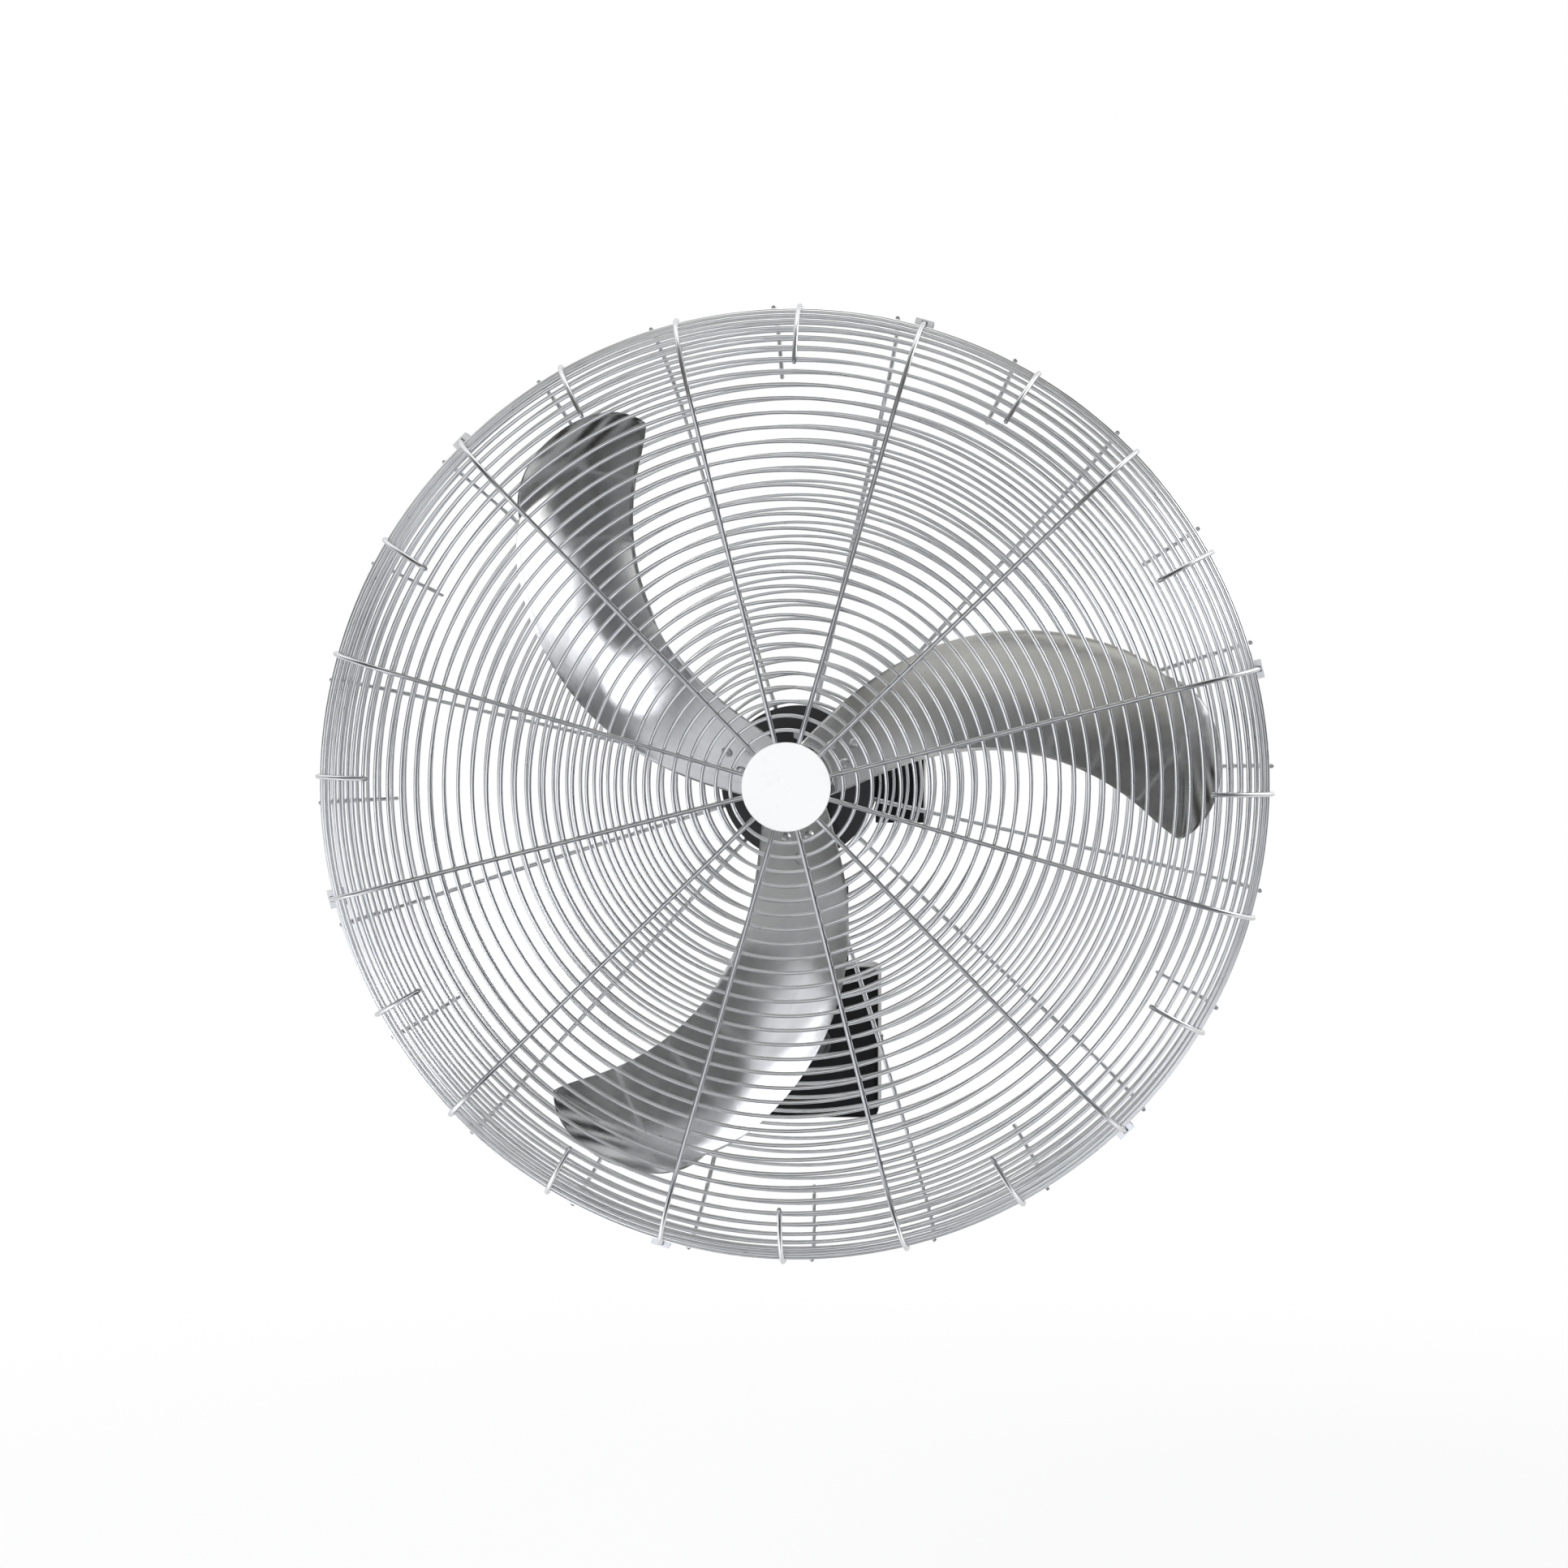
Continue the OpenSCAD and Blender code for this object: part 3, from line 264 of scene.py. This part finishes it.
class Wires:
    """Collects round wires and weld spots into one mesh."""

    def __init__(self, place):
        self.verts, self.faces, self.place = [], [], place

    def loop(self, radius, z, wire_r, steps, sides=10):
        base = len(self.verts)
        for i in range(steps):
            a = 2 * math.pi * i / steps
            for j in range(sides):
                b = 2 * math.pi * j / sides
                r = radius + wire_r * math.cos(b)
                self.verts.append(self.place((r * math.cos(a), r * math.sin(a), z + wire_r * math.sin(b))))
        for i in range(steps):
            for j in range(sides):
                k, l = (i + 1) % steps, (j + 1) % sides
                self.faces.append([base + i * sides + j, base + k * sides + j, base + k * sides + l,
                                   base + i * sides + l])

    def rod(self, points, angle, wire_r):
        """A wire along points (radius, z) turned to an angle, with rounded ends."""
        sides, bevel, end_size = 12, wire_r * 0.45, 0.55
        pts = [Vector(p) for p in points]
        first, last = (pts[0] - pts[1]).normalized(), (pts[-1] - pts[-2]).normalized()
        stations = [(pts[0], end_size), (pts[0] - first * bevel, 1.0)]
        stations += [(p, 1.0) for p in pts[1:-1]]
        stations += [(pts[-1] - last * bevel, 1.0), (pts[-1], end_size)]
        base, rows = len(self.verts), len(stations)
        ca, sa = math.cos(angle), math.sin(angle)
        for i, (p, size) in enumerate(stations):
            before, after = stations[max(0, i - 1)][0], stations[min(rows - 1, i + 1)][0]
            t = (after - before).normalized()
            n = Vector((-t.y, t.x))
            for j in range(sides):
                b = 2 * math.pi * j / sides
                q = p + n * (wire_r * size * math.cos(b))
                side = wire_r * size * math.sin(b)
                self.verts.append(self.place((q.x * ca - side * sa, q.x * sa + side * ca, q.y)))
        for i in range(rows - 1):
            for j in range(sides):
                l = (j + 1) % sides
                self.faces.append([base + i * sides + j, base + (i + 1) * sides + j,
                                   base + (i + 1) * sides + l, base + i * sides + l])
        self.faces.append([base + j for j in range(sides)][::-1])
        self.faces.append([base + (rows - 1) * sides + j for j in range(sides)])

    def weld(self, p, u, v, w, size):
        """A small pressed lump where two wires are welded; u, v and w are its axes."""
        base = len(self.verts)
        rings, sides = 4, 8
        pts = []
        for i in range(1, rings):
            a = math.pi * i / rings
            for j in range(sides):
                b = 2 * math.pi * j / sides
                pts.append((math.sin(a) * math.cos(b), math.sin(a) * math.sin(b), math.cos(a)))
        pts += [(0, 0, 1), (0, 0, -1)]
        for x, y, z in pts:
            self.verts.append(self.place(p + u * (x * size[0]) + v * (y * size[1]) + w * (z * size[2])))
        top, bottom = base + (rings - 1) * sides, base + (rings - 1) * sides + 1
        last = base + (rings - 2) * sides
        for j in range(sides):
            l = (j + 1) % sides
            self.faces.append([top, base + j, base + l])
            self.faces.append([bottom, last + l, last + j])
            for i in range(rings - 2):
                self.faces.append([base + i * sides + j, base + (i + 1) * sides + j,
                                   base + (i + 1) * sides + l, base + i * sides + l])

    def make(self, name, look, node):
        return new_object(name, self.verts, self.faces, look, "motor_head", node)


# ---------------------------------------------------------------- the wire guard
def front_place(p):
    return on_axis(p, RIM_S)


def rear_place(p):
    return on_axis((p[0], p[1], -p[2]), RIM_S)


def face_radii(r_in):
    out, r = [], FLAT_R
    while r >= r_in - 1e-9:
        out.append(r)
        r -= RING_PITCH
    return out


def corner(start, steps):
    """The points of a radial wire's bend, from start degrees down to the rim."""
    turns = [math.radians(start * (1 - i / steps)) for i in range(steps + 1)]
    return [(FLAT_R + CORNER_R * math.cos(b), COLLAR + CORNER_R * math.sin(b)) for b in turns]


PITCH_TURN = RING_PITCH / CORNER_R
SKIRT = [k * PITCH_TURN for k in range(1, int(SKIRT_TURN / math.degrees(PITCH_TURN)) + 1)]


def guard_half(side, place, r_in, wire_in, start):
    """One half of the guard: rings from r_in outwards and radial wires from wire_in outwards."""
    forward = Vector((0, 0, 1))
    spokes_at = []
    for k in range(SPOKE_COUNT):
        a = start + 2 * math.pi / SPOKE_COUNT * k
        spokes_at.append((a, k % 2 == 0, Vector((math.cos(a), math.sin(a), 0)),
                          Vector((-math.sin(a), math.cos(a), 0))))
    face, skirt, spokes, hoop = Wires(place), Wires(place), Wires(place), Wires(place)
    for r in face_radii(r_in):
        face.loop(r, RING_Z, RING_R, FACE_STEPS)
        for a, is_long, u, v in spokes_at:
            if is_long and r > wire_in + WIRE_END:
                p = u * r + forward * (RING_Z + RING_R + WELD_LIFT)
                face.weld(p, u, v, forward, WELD_SIZE)
    for t in SKIRT:
        r, z = FLAT_R + RING_BEND * math.sin(t), COLLAR + RING_BEND * math.cos(t)
        skirt.loop(r, z, RING_R, SKIRT_STEPS)
        for a, is_long, u, v in spokes_at:
            if not is_long and math.pi / 2 - t > math.radians(STUB_FROM) + STUB_SLACK:
                continue
            out = u * math.sin(t) + forward * math.cos(t)
            down = u * math.cos(t) - forward * math.sin(t)
            p = u * r + forward * z + out * (RING_R + WELD_LIFT)
            skirt.weld(p, down, v, out, WELD_SIZE)
    for a, is_long, u, v in spokes_at:
        if is_long:
            pts = [(wire_in + (FLAT_R - wire_in) * i / 8, WIRE_Z) for i in range(8)] + corner(90, 20)
        else:
            pts = corner(STUB_FROM, 16)
        spokes.rod(pts + [(GUARD_R, RIM_GAP)], a, SPOKE_R)
    hoop.loop(GUARD_R - SPOKE_R - HOOP_R - WIRE_GAP, HOOP_R + RIM_GAP, HOOP_R, HOOP_STEPS, HOOP_SIDES)
    for a, is_long, u, v in spokes_at:
        p = u * (GUARD_R - SPOKE_R - RIM_WELD_SINK) + forward * RIM_WELD_Z
        hoop.weld(p, forward, v, u, RIM_WELD_SIZE)
    wire_look = SLOT_LOOKS["guard_wire"]
    face.make(side + "_face_wires", wire_look, side + "_guard_rings")
    skirt.make(side + "_skirt_wires", wire_look, side + "_skirt_rings")
    # the radial wires take the darker copy of the wire's look, which paints shade on them
    spokes.make(side + "_radial_wires", PAINTED_SHADE_RADIAL_LOOK, side + "_guard_spokes")
    hoop.make(side + "_hoop_wire", wire_look, side + "_rim_hoop")


guard_half("front", front_place, BADGE_R + RING_R + BADGE_GAP, FRONT_WIRE_IN, SPOKE_START)
guard_half("rear", rear_place, PLATE_R + RING_R + PLATE_GAP, REAR_WIRE_IN, SPOKE_START + REAR_TURN)

# ---------------------------------------------------------------- the blades
BLADE_R, ROOT_R = 0.369, 0.034
FLAT_TO = 0.075             # the root is flat up to here, for the hub's arm
TIP_L = 0.064               # the tip is rounded off over this length
ROUND_FROM = BLADE_R - TIP_L
TIP_POWER = 2.2
ROOT_LEAD, SWEEP, SWEEP_POWER = 34, 29, 1.5
SWEEP_SPAN = 0.865          # the share of the span that sweeps back by SWEEP degrees
SWEEP_END = 1.02            # the sweep stops here, as a share of the swept part
FOLD_SLOPE = 1.275          # beyond the swept part, the sheet's fold goes on by this slope
ROOT_WIDTH, WIDTH_GROWTH = 0.048, 0.32
ROOT_PITCH, TIP_PITCH = 37, 20
HOLLOW, HOLLOW_RISE = 0.013, 1.8
SHEET_T = 0.002
SHEET_EDGE_R, SHEET_EDGE_ANGLE = 0.0006, 50
ROOT_ROWS, SPAN_ROWS, TIP_ROWS, CHORD_CELLS = 6, 44, 26, 28
TIP_END = 88.5              # of 90 degrees round the tip, as the sheet has no width at its very end
UV_WIDTH = 0.15


def ease(x):
    return x * x * (3 - 2 * x)


def blade_point(u, v):
    """A point of the sheet's middle, in the fan's frame. v is 0 at the hollow edge, 1 at the round one."""
    span = max(0.0, u - FLAT_TO) / (BLADE_R - FLAT_TO)
    x = span / SWEEP_SPAN
    lead = ROOT_LEAD - SWEEP * min(SWEEP_END, x) ** SWEEP_POWER
    fold = ROOT_LEAD - SWEEP * (x ** SWEEP_POWER if x < 1 else 1 + FOLD_SLOPE * (x - 1))
    narrow = 1.0
    if u > ROUND_FROM:
        narrow = max(0.0, 1 - ((u - ROUND_FROM) / TIP_L) ** TIP_POWER) ** (1 / TIP_POWER)
    width = (ROOT_WIDTH + WIDTH_GROWTH * u) * narrow
    pitch = math.radians(ROOT_PITCH + (TIP_PITCH - ROOT_PITCH) * ease(span))
    turn = (v - 0.5) * width / u
    hollow = -HOLLOW * ease(min(1.0, HOLLOW_RISE * span)) * (1 - ((2 * v - 1) * narrow) ** 2)
    a = math.radians(lead) + turn
    sheet = -u * math.sin(turn + math.radians(lead - fold)) * math.tan(pitch)
    return Vector((u * math.cos(a), u * math.sin(a), sheet + hollow))


def make_blade(k):
    us = [ROOT_R + (FLAT_TO - ROOT_R) * i / ROOT_ROWS for i in range(ROOT_ROWS)]
    us += [FLAT_TO + (ROUND_FROM - FLAT_TO) * i / SPAN_ROWS for i in range(SPAN_ROWS)]
    us += [ROUND_FROM + TIP_L * math.sin(math.radians(TIP_END * i / TIP_ROWS)) for i in range(TIP_ROWS + 1)]
    n_v = CHORD_CELLS
    rows, cols = len(us), n_v + 1
    spin = Matrix.Rotation(math.radians(120 * k), 3, "Z")
    verts, uvs = [], []
    for z in (SHEET_T / 2, -SHEET_T / 2):
        for u in us:
            for j in range(cols):
                p = spin @ blade_point(u, j / n_v)
                verts.append(on_axis((p.x, p.y, p.z + z), BLADE_S))
                uvs.append((u, j / n_v * UV_WIDTH))
    back = rows * cols
    faces = []
    for i in range(rows - 1):
        for j in range(n_v):
            a, b = i * cols + j, i * cols + j + 1
            c, d = b + cols, a + cols
            faces.append([a, b, c, d])
            faces.append([a + back, d + back, c + back, b + back])
    rim = list(range(cols)) + [i * cols + n_v for i in range(1, rows)]
    rim += [(rows - 1) * cols + j for j in range(n_v - 1, -1, -1)]
    rim += [i * cols for i in range(rows - 2, 0, -1)]
    for a, b in zip(rim, rim[1:] + rim[:1]):
        faces.append([b, a, a + back, b + back])
    ob = new_object(f"blade_sheet_{k + 1}", verts, faces, SLOT_LOOKS["blade_metal"], "fan_rotor",
                    f"blade_{k + 1}", uvs)
    round_edges(ob, SHEET_EDGE_R, SHEET_EDGE_ANGLE)


for k in range(3):
    make_blade(k)


# ---------------------------------------------------------------- softer edges on castings and folded steel
HARD_EDGE = 35              # degrees between two faces
NEARLY_FLAT = 0.6
SAME_SPOT = 1e-6


def softened(node, name, body, width):
    """A copy of a node's surface with its hard edges rounded."""
    me = NODES[node].data.copy()
    me.name = name
    bm = bmesh.new()
    bm.from_mesh(me)
    bmesh.ops.remove_doubles(bm, verts=bm.verts, dist=SAME_SPOT)
    bmesh.ops.dissolve_limit(bm, angle_limit=math.radians(NEARLY_FLAT), verts=bm.verts, edges=bm.edges)
    bm.to_mesh(me)
    bm.free()
    ob = bpy.data.objects.new(name, me)
    bpy.context.scene.collection.objects.link(ob)
    me.materials.clear()
    me.materials.append(SLOT_LOOKS[SLOT_OF[node]])
    for p in me.polygons:
        p.material_index = 0
        p.use_smooth = True
    bev = round_edges(ob, width, HARD_EDGE)
    bev.use_clamp_overlap = True
    bev.harden_normals = True
    me.set_sharp_from_angle(angle=math.radians(HARD_EDGE))
    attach(ob, body)
    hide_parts(node)


for node, name, body, width in (
    ("bracket_arm", "arm_folded_steel", "wall_bracket", 0.0007),
    ("wall_plate", "plate_folded_steel", "wall_bracket", 0.0006),
    ("neck", "neck_casting", "tilt_neck", 0.0008),
    ("gear_case", "gear_housing", "motor_head", 0.0012),
    ("rear_bell", "rear_end_cap", "motor_head", 0.0010),
    ("front_bell", "front_end_cap", "motor_head", 0.0010),
    ("capacitor_box", "side_box", "motor_head", 0.0009),
    ("capacitor_lid", "side_box_lid", "motor_head", 0.0009),
    ("rear_guard_plate", "guard_clamp_plate", "motor_head", 0.0005),
    ("speed_knob", "knob_moulding", "speed_knob", 0.0008),
    ("guard_clips", "rim_clips", "motor_head", 0.0003),
):
    softened(node, name, body, width)

# ---------------------------------------------------------------- the switch box cover
BOX_W, BOX_H, BOX_D = 0.122, 0.142, 0.078
BOX_WALL = 0.0025
BOX_CORNER_R, LEAST_CORNER_R = 0.008, 0.0008
BOX_FRONT_R = 0.004
BOX_BACK = 0.0005           # from the wall to the box's open edge
SWITCH_HOLE_R = 0.0051
SLOT_W, SLOT_L, SLOT_H = 0.060, 0.009, 0.008
CUT_L = 0.01
SIDE_HOLES = (              # x, y, z and radius: the gland's hole and the two cover screws' holes
    (-BOX_W / 2, -0.036, 0.036 - BOX_H / 2, 0.0081),
    (BOX_W / 2, -0.019, 0, 0.0021),
    (-BOX_W / 2, -0.019, 0, 0.0021),
)


def rounded_outline(w, h, r):
    pts, steps = [], 8
    for cx, cz, a0 in ((w / 2 - r, h / 2 - r, 0), (-w / 2 + r, h / 2 - r, 90),
                       (-w / 2 + r, -h / 2 + r, 180), (w / 2 - r, -h / 2 + r, 270)):
        for i in range(steps + 1):
            a = math.radians(a0 + 90 * i / steps)
            pts.append((cx + r * math.cos(a), cz + r * math.sin(a)))
    return pts


def cover_mesh():
    """The box as a shell: rounded corners, a rounded front rim and a hole for the switch."""
    straight = BOX_D - BOX_FRONT_R
    rows = [(0.0, BOX_BACK + (straight - BOX_BACK) * i / 6) for i in range(7)]
    for a in range(15, 91, 15):
        b = math.radians(a)
        rows.append((BOX_FRONT_R * (1 - math.cos(b)), straight + BOX_FRONT_R * math.sin(b)))
    verts, faces = [], []
    n = len(rounded_outline(BOX_W, BOX_H, BOX_CORNER_R))

    def ring(inset, s):
        base = len(verts)
        r = max(BOX_CORNER_R - inset, LEAST_CORNER_R)
        outline = rounded_outline(BOX_W - 2 * inset, BOX_H - 2 * inset, r)
        verts.extend(Vector((x, -s, z)) for x, z in outline)
        return base

    def hole_ring(base, s):
        """The switch's hole, with a point for each point of the ring at base."""
        first = len(verts)
        for j in range(n):
            a = math.atan2(verts[base + j].z, verts[base + j].x)
            verts.append(Vector((SWITCH_HOLE_R * math.cos(a), -s, SWITCH_HOLE_R * math.sin(a))))
        return first

    def join(a, b):
        for j in range(n):
            k = (j + 1) % n
            faces.append([a + j, a + k, b + k, b + j])

    bases = [ring(i, s) for i, s in rows]
    inner_front, inner_back = ring(BOX_WALL, BOX_D - BOX_WALL), ring(BOX_WALL, BOX_BACK)
    for a, b in zip(bases, bases[1:]):
        join(a, b)
    join(inner_front, inner_back)
    join(inner_back, bases[0])
    outer_hole = hole_ring(bases[-1], BOX_D)
    join(bases[-1], outer_hole)
    inner_hole = hole_ring(inner_front, BOX_D - BOX_WALL)
    join(inner_front, inner_hole)
    join(outer_hole, inner_hole)
    return verts, faces


def cover_cutter():
    """The slot at the top for the wall plate's tongue, and the holes in the sides."""
    bm = bmesh.new()
    bmesh.ops.create_cube(bm, size=1.0)
    bmesh.ops.scale(bm, vec=(SLOT_W, SLOT_L, SLOT_H), verts=bm.verts)
    bmesh.ops.translate(bm, vec=(0, 0, BOX_H / 2), verts=bm.verts)
    sideways = Matrix.Rotation(math.pi / 2, 3, "Y")
    for x, y, z, r in SIDE_HOLES:
        made = bmesh.ops.create_cone(bm, cap_ends=True, segments=40, radius1=r, radius2=r, depth=CUT_L)
        bmesh.ops.rotate(bm, verts=made["verts"], matrix=sideways)
        bmesh.ops.translate(bm, vec=(x, y, z), verts=made["verts"])
    me = bpy.data.meshes.new("cut")
    bm.to_mesh(me)
    bm.free()
    cut = bpy.data.objects.new("cut", me)
    bpy.context.scene.collection.objects.link(cut)
    return cut


def make_cover():
    verts, faces = cover_mesh()
    ob = new_object("switch_box_shell", verts, faces, SLOT_LOOKS["box_plastic"], "wall_bracket", "box_cover")
    cut = cover_cutter()
    mod = ob.modifiers.new("cut", "BOOLEAN")
    mod.operation, mod.object, mod.solver = "DIFFERENCE", cut, "EXACT"
    bpy.context.view_layer.update()
    done = bpy.data.meshes.new_from_object(ob.evaluated_get(bpy.context.evaluated_depsgraph_get()))
    ob.modifiers.clear()
    old, ob.data = ob.data, done
    bpy.data.meshes.remove(old)
    bpy.data.objects.remove(cut)
    done.set_sharp_from_angle(angle=math.radians(HARD_EDGE))


make_cover()

# ---------------------------------------------------------------- the floor
# The floor shines white where it is seen, most of all far away, and keeps the shadow near the
# fan. Metal sees it behind the fan and not in front, where the dark studio is.
FLOOR_Z = -0.55
FLOOR_HALF = 30
SHADED = (0.6, 2.4)         # the floor's shade fades out between these distances from its middle
SHINE = (0.84, 1.0)         # how white the floor is at the nearer and at the farther one
BEHIND = (-0.4, 0.3)        # the floor comes to show in metal between these places along Y

white = bpy.data.materials.new("pale_floor")
white.use_nodes = True
nt = white.node_tree
nt.nodes.clear()
out = nt.nodes.new("ShaderNodeOutputMaterial")
rays = nt.nodes.new("ShaderNodeLightPath").outputs
where = nt.nodes.new("ShaderNodeTexCoord").outputs["Object"]
spot = nt.nodes.new("ShaderNodeSeparateXYZ")
nt.links.new(where, spot.inputs[0])
length = nt.nodes.new("ShaderNodeVectorMath")
length.operation = "LENGTH"
nt.links.new(where, length.inputs[0])
far = smooth(nt, length.outputs["Value"], SHADED, SHINE)
behind = smooth(nt, spot.outputs["Y"], BEHIND)
glow = nt.nodes.new("ShaderNodeEmission")
glow.inputs["Color"].default_value = (1, 1, 1, 1)
matt = nt.nodes.new("ShaderNodeBsdfDiffuse")
matt.inputs["Color"].default_value = (0.86, 0.86, 0.86, 1)
clear = nt.nodes.new("ShaderNodeBsdfTransparent")


def mix_shader(tree, fac, a, b):
    n = tree.nodes.new("ShaderNodeMixShader")
    for socket, source in zip(n.inputs, (fac, a, b)):
        tree.links.new(source, socket)
    return n.outputs[0]


seen = math_in(nt, "MAXIMUM", rays["Is Camera Ray"], rays["Is Transmission Ray"])
seen = math_in(nt, "MAXIMUM", seen, rays["Is Glossy Ray"])
shine = mix_shader(nt, math_in(nt, "MULTIPLY", seen, far), matt.outputs[0], glow.outputs[0])
ahead = math_in(nt, "MULTIPLY", rays["Is Glossy Ray"], math_in(nt, "SUBTRACT", 1.0, behind))
nt.links.new(mix_shader(nt, ahead, shine, clear.outputs[0]), out.inputs["Surface"])

bm = bmesh.new()
bmesh.ops.create_grid(bm, x_segments=2, y_segments=2, size=FLOOR_HALF)
me = bpy.data.meshes.new("floor")
bm.to_mesh(me)
bm.free()
me.materials.append(white)
floor = bpy.data.objects.new("floor", me)
floor.location = (0, 0, FLOOR_Z)
bpy.context.scene.collection.objects.link(floor)

# ---------------------------------------------------------------- the studio
world = bpy.data.worlds.new("studio")
bpy.context.scene.world = world
world.use_nodes = True
nt = world.node_tree
nt.nodes.clear()
out = nt.nodes.new("ShaderNodeOutputWorld")
looking = nt.nodes.new("ShaderNodeTexCoord").outputs["Generated"]
split = nt.nodes.new("ShaderNodeSeparateXYZ")
nt.links.new(looking, split.inputs[0])


def direction(x, y):
    """The direction x degrees to the right of the fan's front and y degrees above it."""
    t, a = math.radians(math.hypot(x, y)), math.atan2(y, x)
    return Vector((math.sin(t) * math.cos(a), -math.cos(t), math.sin(t) * math.sin(a)))


def along(axis):
    n = nt.nodes.new("ShaderNodeVectorMath")
    n.operation = "DOT_PRODUCT"
    n.inputs[1].default_value = axis
    nt.links.new(looking, n.inputs[0])
    return n.outputs["Value"]


def sixth_power(value):
    return math_in(nt, "POWER", math_in(nt, "MULTIPLY", value, value), 3.0)


def panel(a, b, wide, power):
    """A soft strip in the studio, from direction a to direction b and wide degrees to each side."""
    a, b = direction(*a), direction(*b)
    mid, line = (a + b).normalized(), (b - a).normalized()
    half_l, half_w = (b - a).length / 2, math.sin(math.radians(wide))
    u = math_in(nt, "MULTIPLY", along(line), 1 / half_l)
    v = math_in(nt, "MULTIPLY", along(mid.cross(line)), 1 / half_w)
    edge = math_in(nt, "ADD", sixth_power(u), sixth_power(v))
    shape = math_in(nt, "EXPONENT", math_in(nt, "MULTIPLY", edge, -1.0))
    near_side = smooth(nt, along(mid), (0.0, 0.2))
    return math_in(nt, "MULTIPLY", math_in(nt, "MULTIPLY", shape, near_side), power)


def panels(rows):
    total = 0.0
    for a, b, wide, power in rows:
        total = math_in(nt, "ADD", total, panel(a, b, wide, power))
    return total


# What metal reflects. In each row: from, to, half the width in degrees, and brightness.
# The room in front is dark, with a pale ceiling, strip lights at the left and below, and grey
# patches. The side lights stand beside and behind the fan and fade the wires on the diagonals.
ROOM_DARK = 0.025
room = math_in(nt, "ADD", ROOM_DARK, panels((
    ((-5, 20), (-5, 72), 27, 0.40),
    ((-12, 5), (12, 5), 12, 0.55),
    ((8, 12), (40, 12), 14, 0.10),
    ((-52, -62), (-38, -54), 14, 0.85),
    ((-10, -24), (20, -44), 15, 0.42),
    ((60, -18), (76, -18), 12, 0.34),
    ((-60, -17), (-14, 3), 9.5, 2.4),
    ((-56, -25), (-68, -43), 7, 4.0),
    ((-6, -8), (26, -24), 7, 2.4),
    ((22, -22), (58, -42), 8, 1.1),
)))
side_lights = panels((
    ((84, 46), (114, 62), 9, 8.5),
    ((-81, -49.6), (-112, -68), 8.5, 6.5),
    ((-44, -86), (-58, -112), 10, 3.4),
    ((80, -56), (108, -76), 11, 3.0),
    ((52, -87), (65, -108), 9, 2.0),
    ((-75, 62), (-101, 85), 10, 1.9),
    ((0, 96), (0, 124), 18, 2.4),
))
COOL, WARM = (0.955, 0.975, 1.04), (1.0, 0.975, 0.885)
COOL_TO_WARM = (-0.1, 0.25)         # from below to above
WHITE = (1, 1, 1)
TO_WHITE = (-0.02, 0.30)            # from beside the fan to behind it
TO_WHITE_BEND = 0.45                # the white starts further back at the left and the right
DAYLIGHT = (0.62, 0.63, 0.64)       # what surfaces without a reflection are lit by
tint = mix_rgb(nt, smooth(nt, split.outputs["Z"], COOL_TO_WARM), COOL, WARM)
tinted_room = mix_rgb(nt, 1.0, tint, room, "MULTIPLY")
sideways = math_in(nt, "MULTIPLY", split.outputs["X"], split.outputs["X"])
rear = math_in(nt, "SUBTRACT", split.outputs["Y"], math_in(nt, "MULTIPLY", sideways, TO_WHITE_BEND))
backdrop = mix_rgb(nt, smooth(nt, rear, TO_WHITE), tinted_room, WHITE)
reflected = mix_rgb(nt, 1.0, backdrop, side_lights, "ADD")


def background(colour):
    n = nt.nodes.new("ShaderNodeBackground")
    link_or_set(nt, n.inputs["Color"], colour)
    return n.outputs[0]


rays = nt.nodes.new("ShaderNodeLightPath").outputs
lit = mix_shader(nt, rays["Is Glossy Ray"], background(DAYLIGHT), background(reflected))
shown = math_in(nt, "MAXIMUM", rays["Is Camera Ray"], rays["Is Transmission Ray"])
nt.links.new(mix_shader(nt, shown, lit, background(WHITE)), out.inputs["Surface"])


# ---------------------------------------------------------------- lamps and camera
LAMP_AIM = Vector((0, -0.3, 0.2))


def lamp(name, pos, power, size):
    """A round lamp aimed at the fan, which metal doesn't reflect."""
    data = bpy.data.lights.new(name, "AREA")
    data.energy, data.shape, data.size = power, "DISK", size
    ob = bpy.data.objects.new(name, data)
    ob.location = pos
    ob.rotation_mode = "QUATERNION"
    ob.rotation_quaternion = (LAMP_AIM - Vector(pos)).to_track_quat("-Z", "Y")
    bpy.context.scene.collection.objects.link(ob)
    ob.visible_glossy = False


lamp("key", (-1.6, -3.0, 2.2), 52, 1.2)
lamp("fill", (2.4, -2.2, 0.9), 26, 1.6)
lamp("back", (-1.8, 1.6, 1.6), 20, 1.2)

AZ, EL, DIST = math.radians(3.5), math.radians(1.3), 3.5    # the camera, as seen from the pivot
FOCAL_PX, IMAGE_PX, SENSOR_MM = 5158.0, 1932.0, 36.0
AIM_PX = (-2, 4)            # how far the picture's middle lies right of the pivot and above it
PIVOT_S = 0.5035            # from the wall to the point close before the badge
pivot = Vector((0, -PIVOT_S, AXIS_H))
away = Vector((math.sin(AZ) * math.cos(EL), -math.cos(AZ) * math.cos(EL), math.sin(EL)))
cam_data = bpy.data.cameras.new("camera")
cam = bpy.data.objects.new("camera", cam_data)
bpy.context.scene.collection.objects.link(cam)
cam_data.sensor_width = SENSOR_MM
cam_data.lens = SENSOR_MM * FOCAL_PX / IMAGE_PX
cam.location = pivot + away * DIST
look_at = pivot + Vector((AIM_PX[0] * DIST / FOCAL_PX, 0, AIM_PX[1] * DIST / FOCAL_PX))
cam.rotation_mode = "QUATERNION"
cam.rotation_quaternion = (look_at - cam.location).to_track_quat("-Z", "Y")
bpy.context.scene.camera = cam
bpy.context.scene.view_settings.view_transform = "Standard"
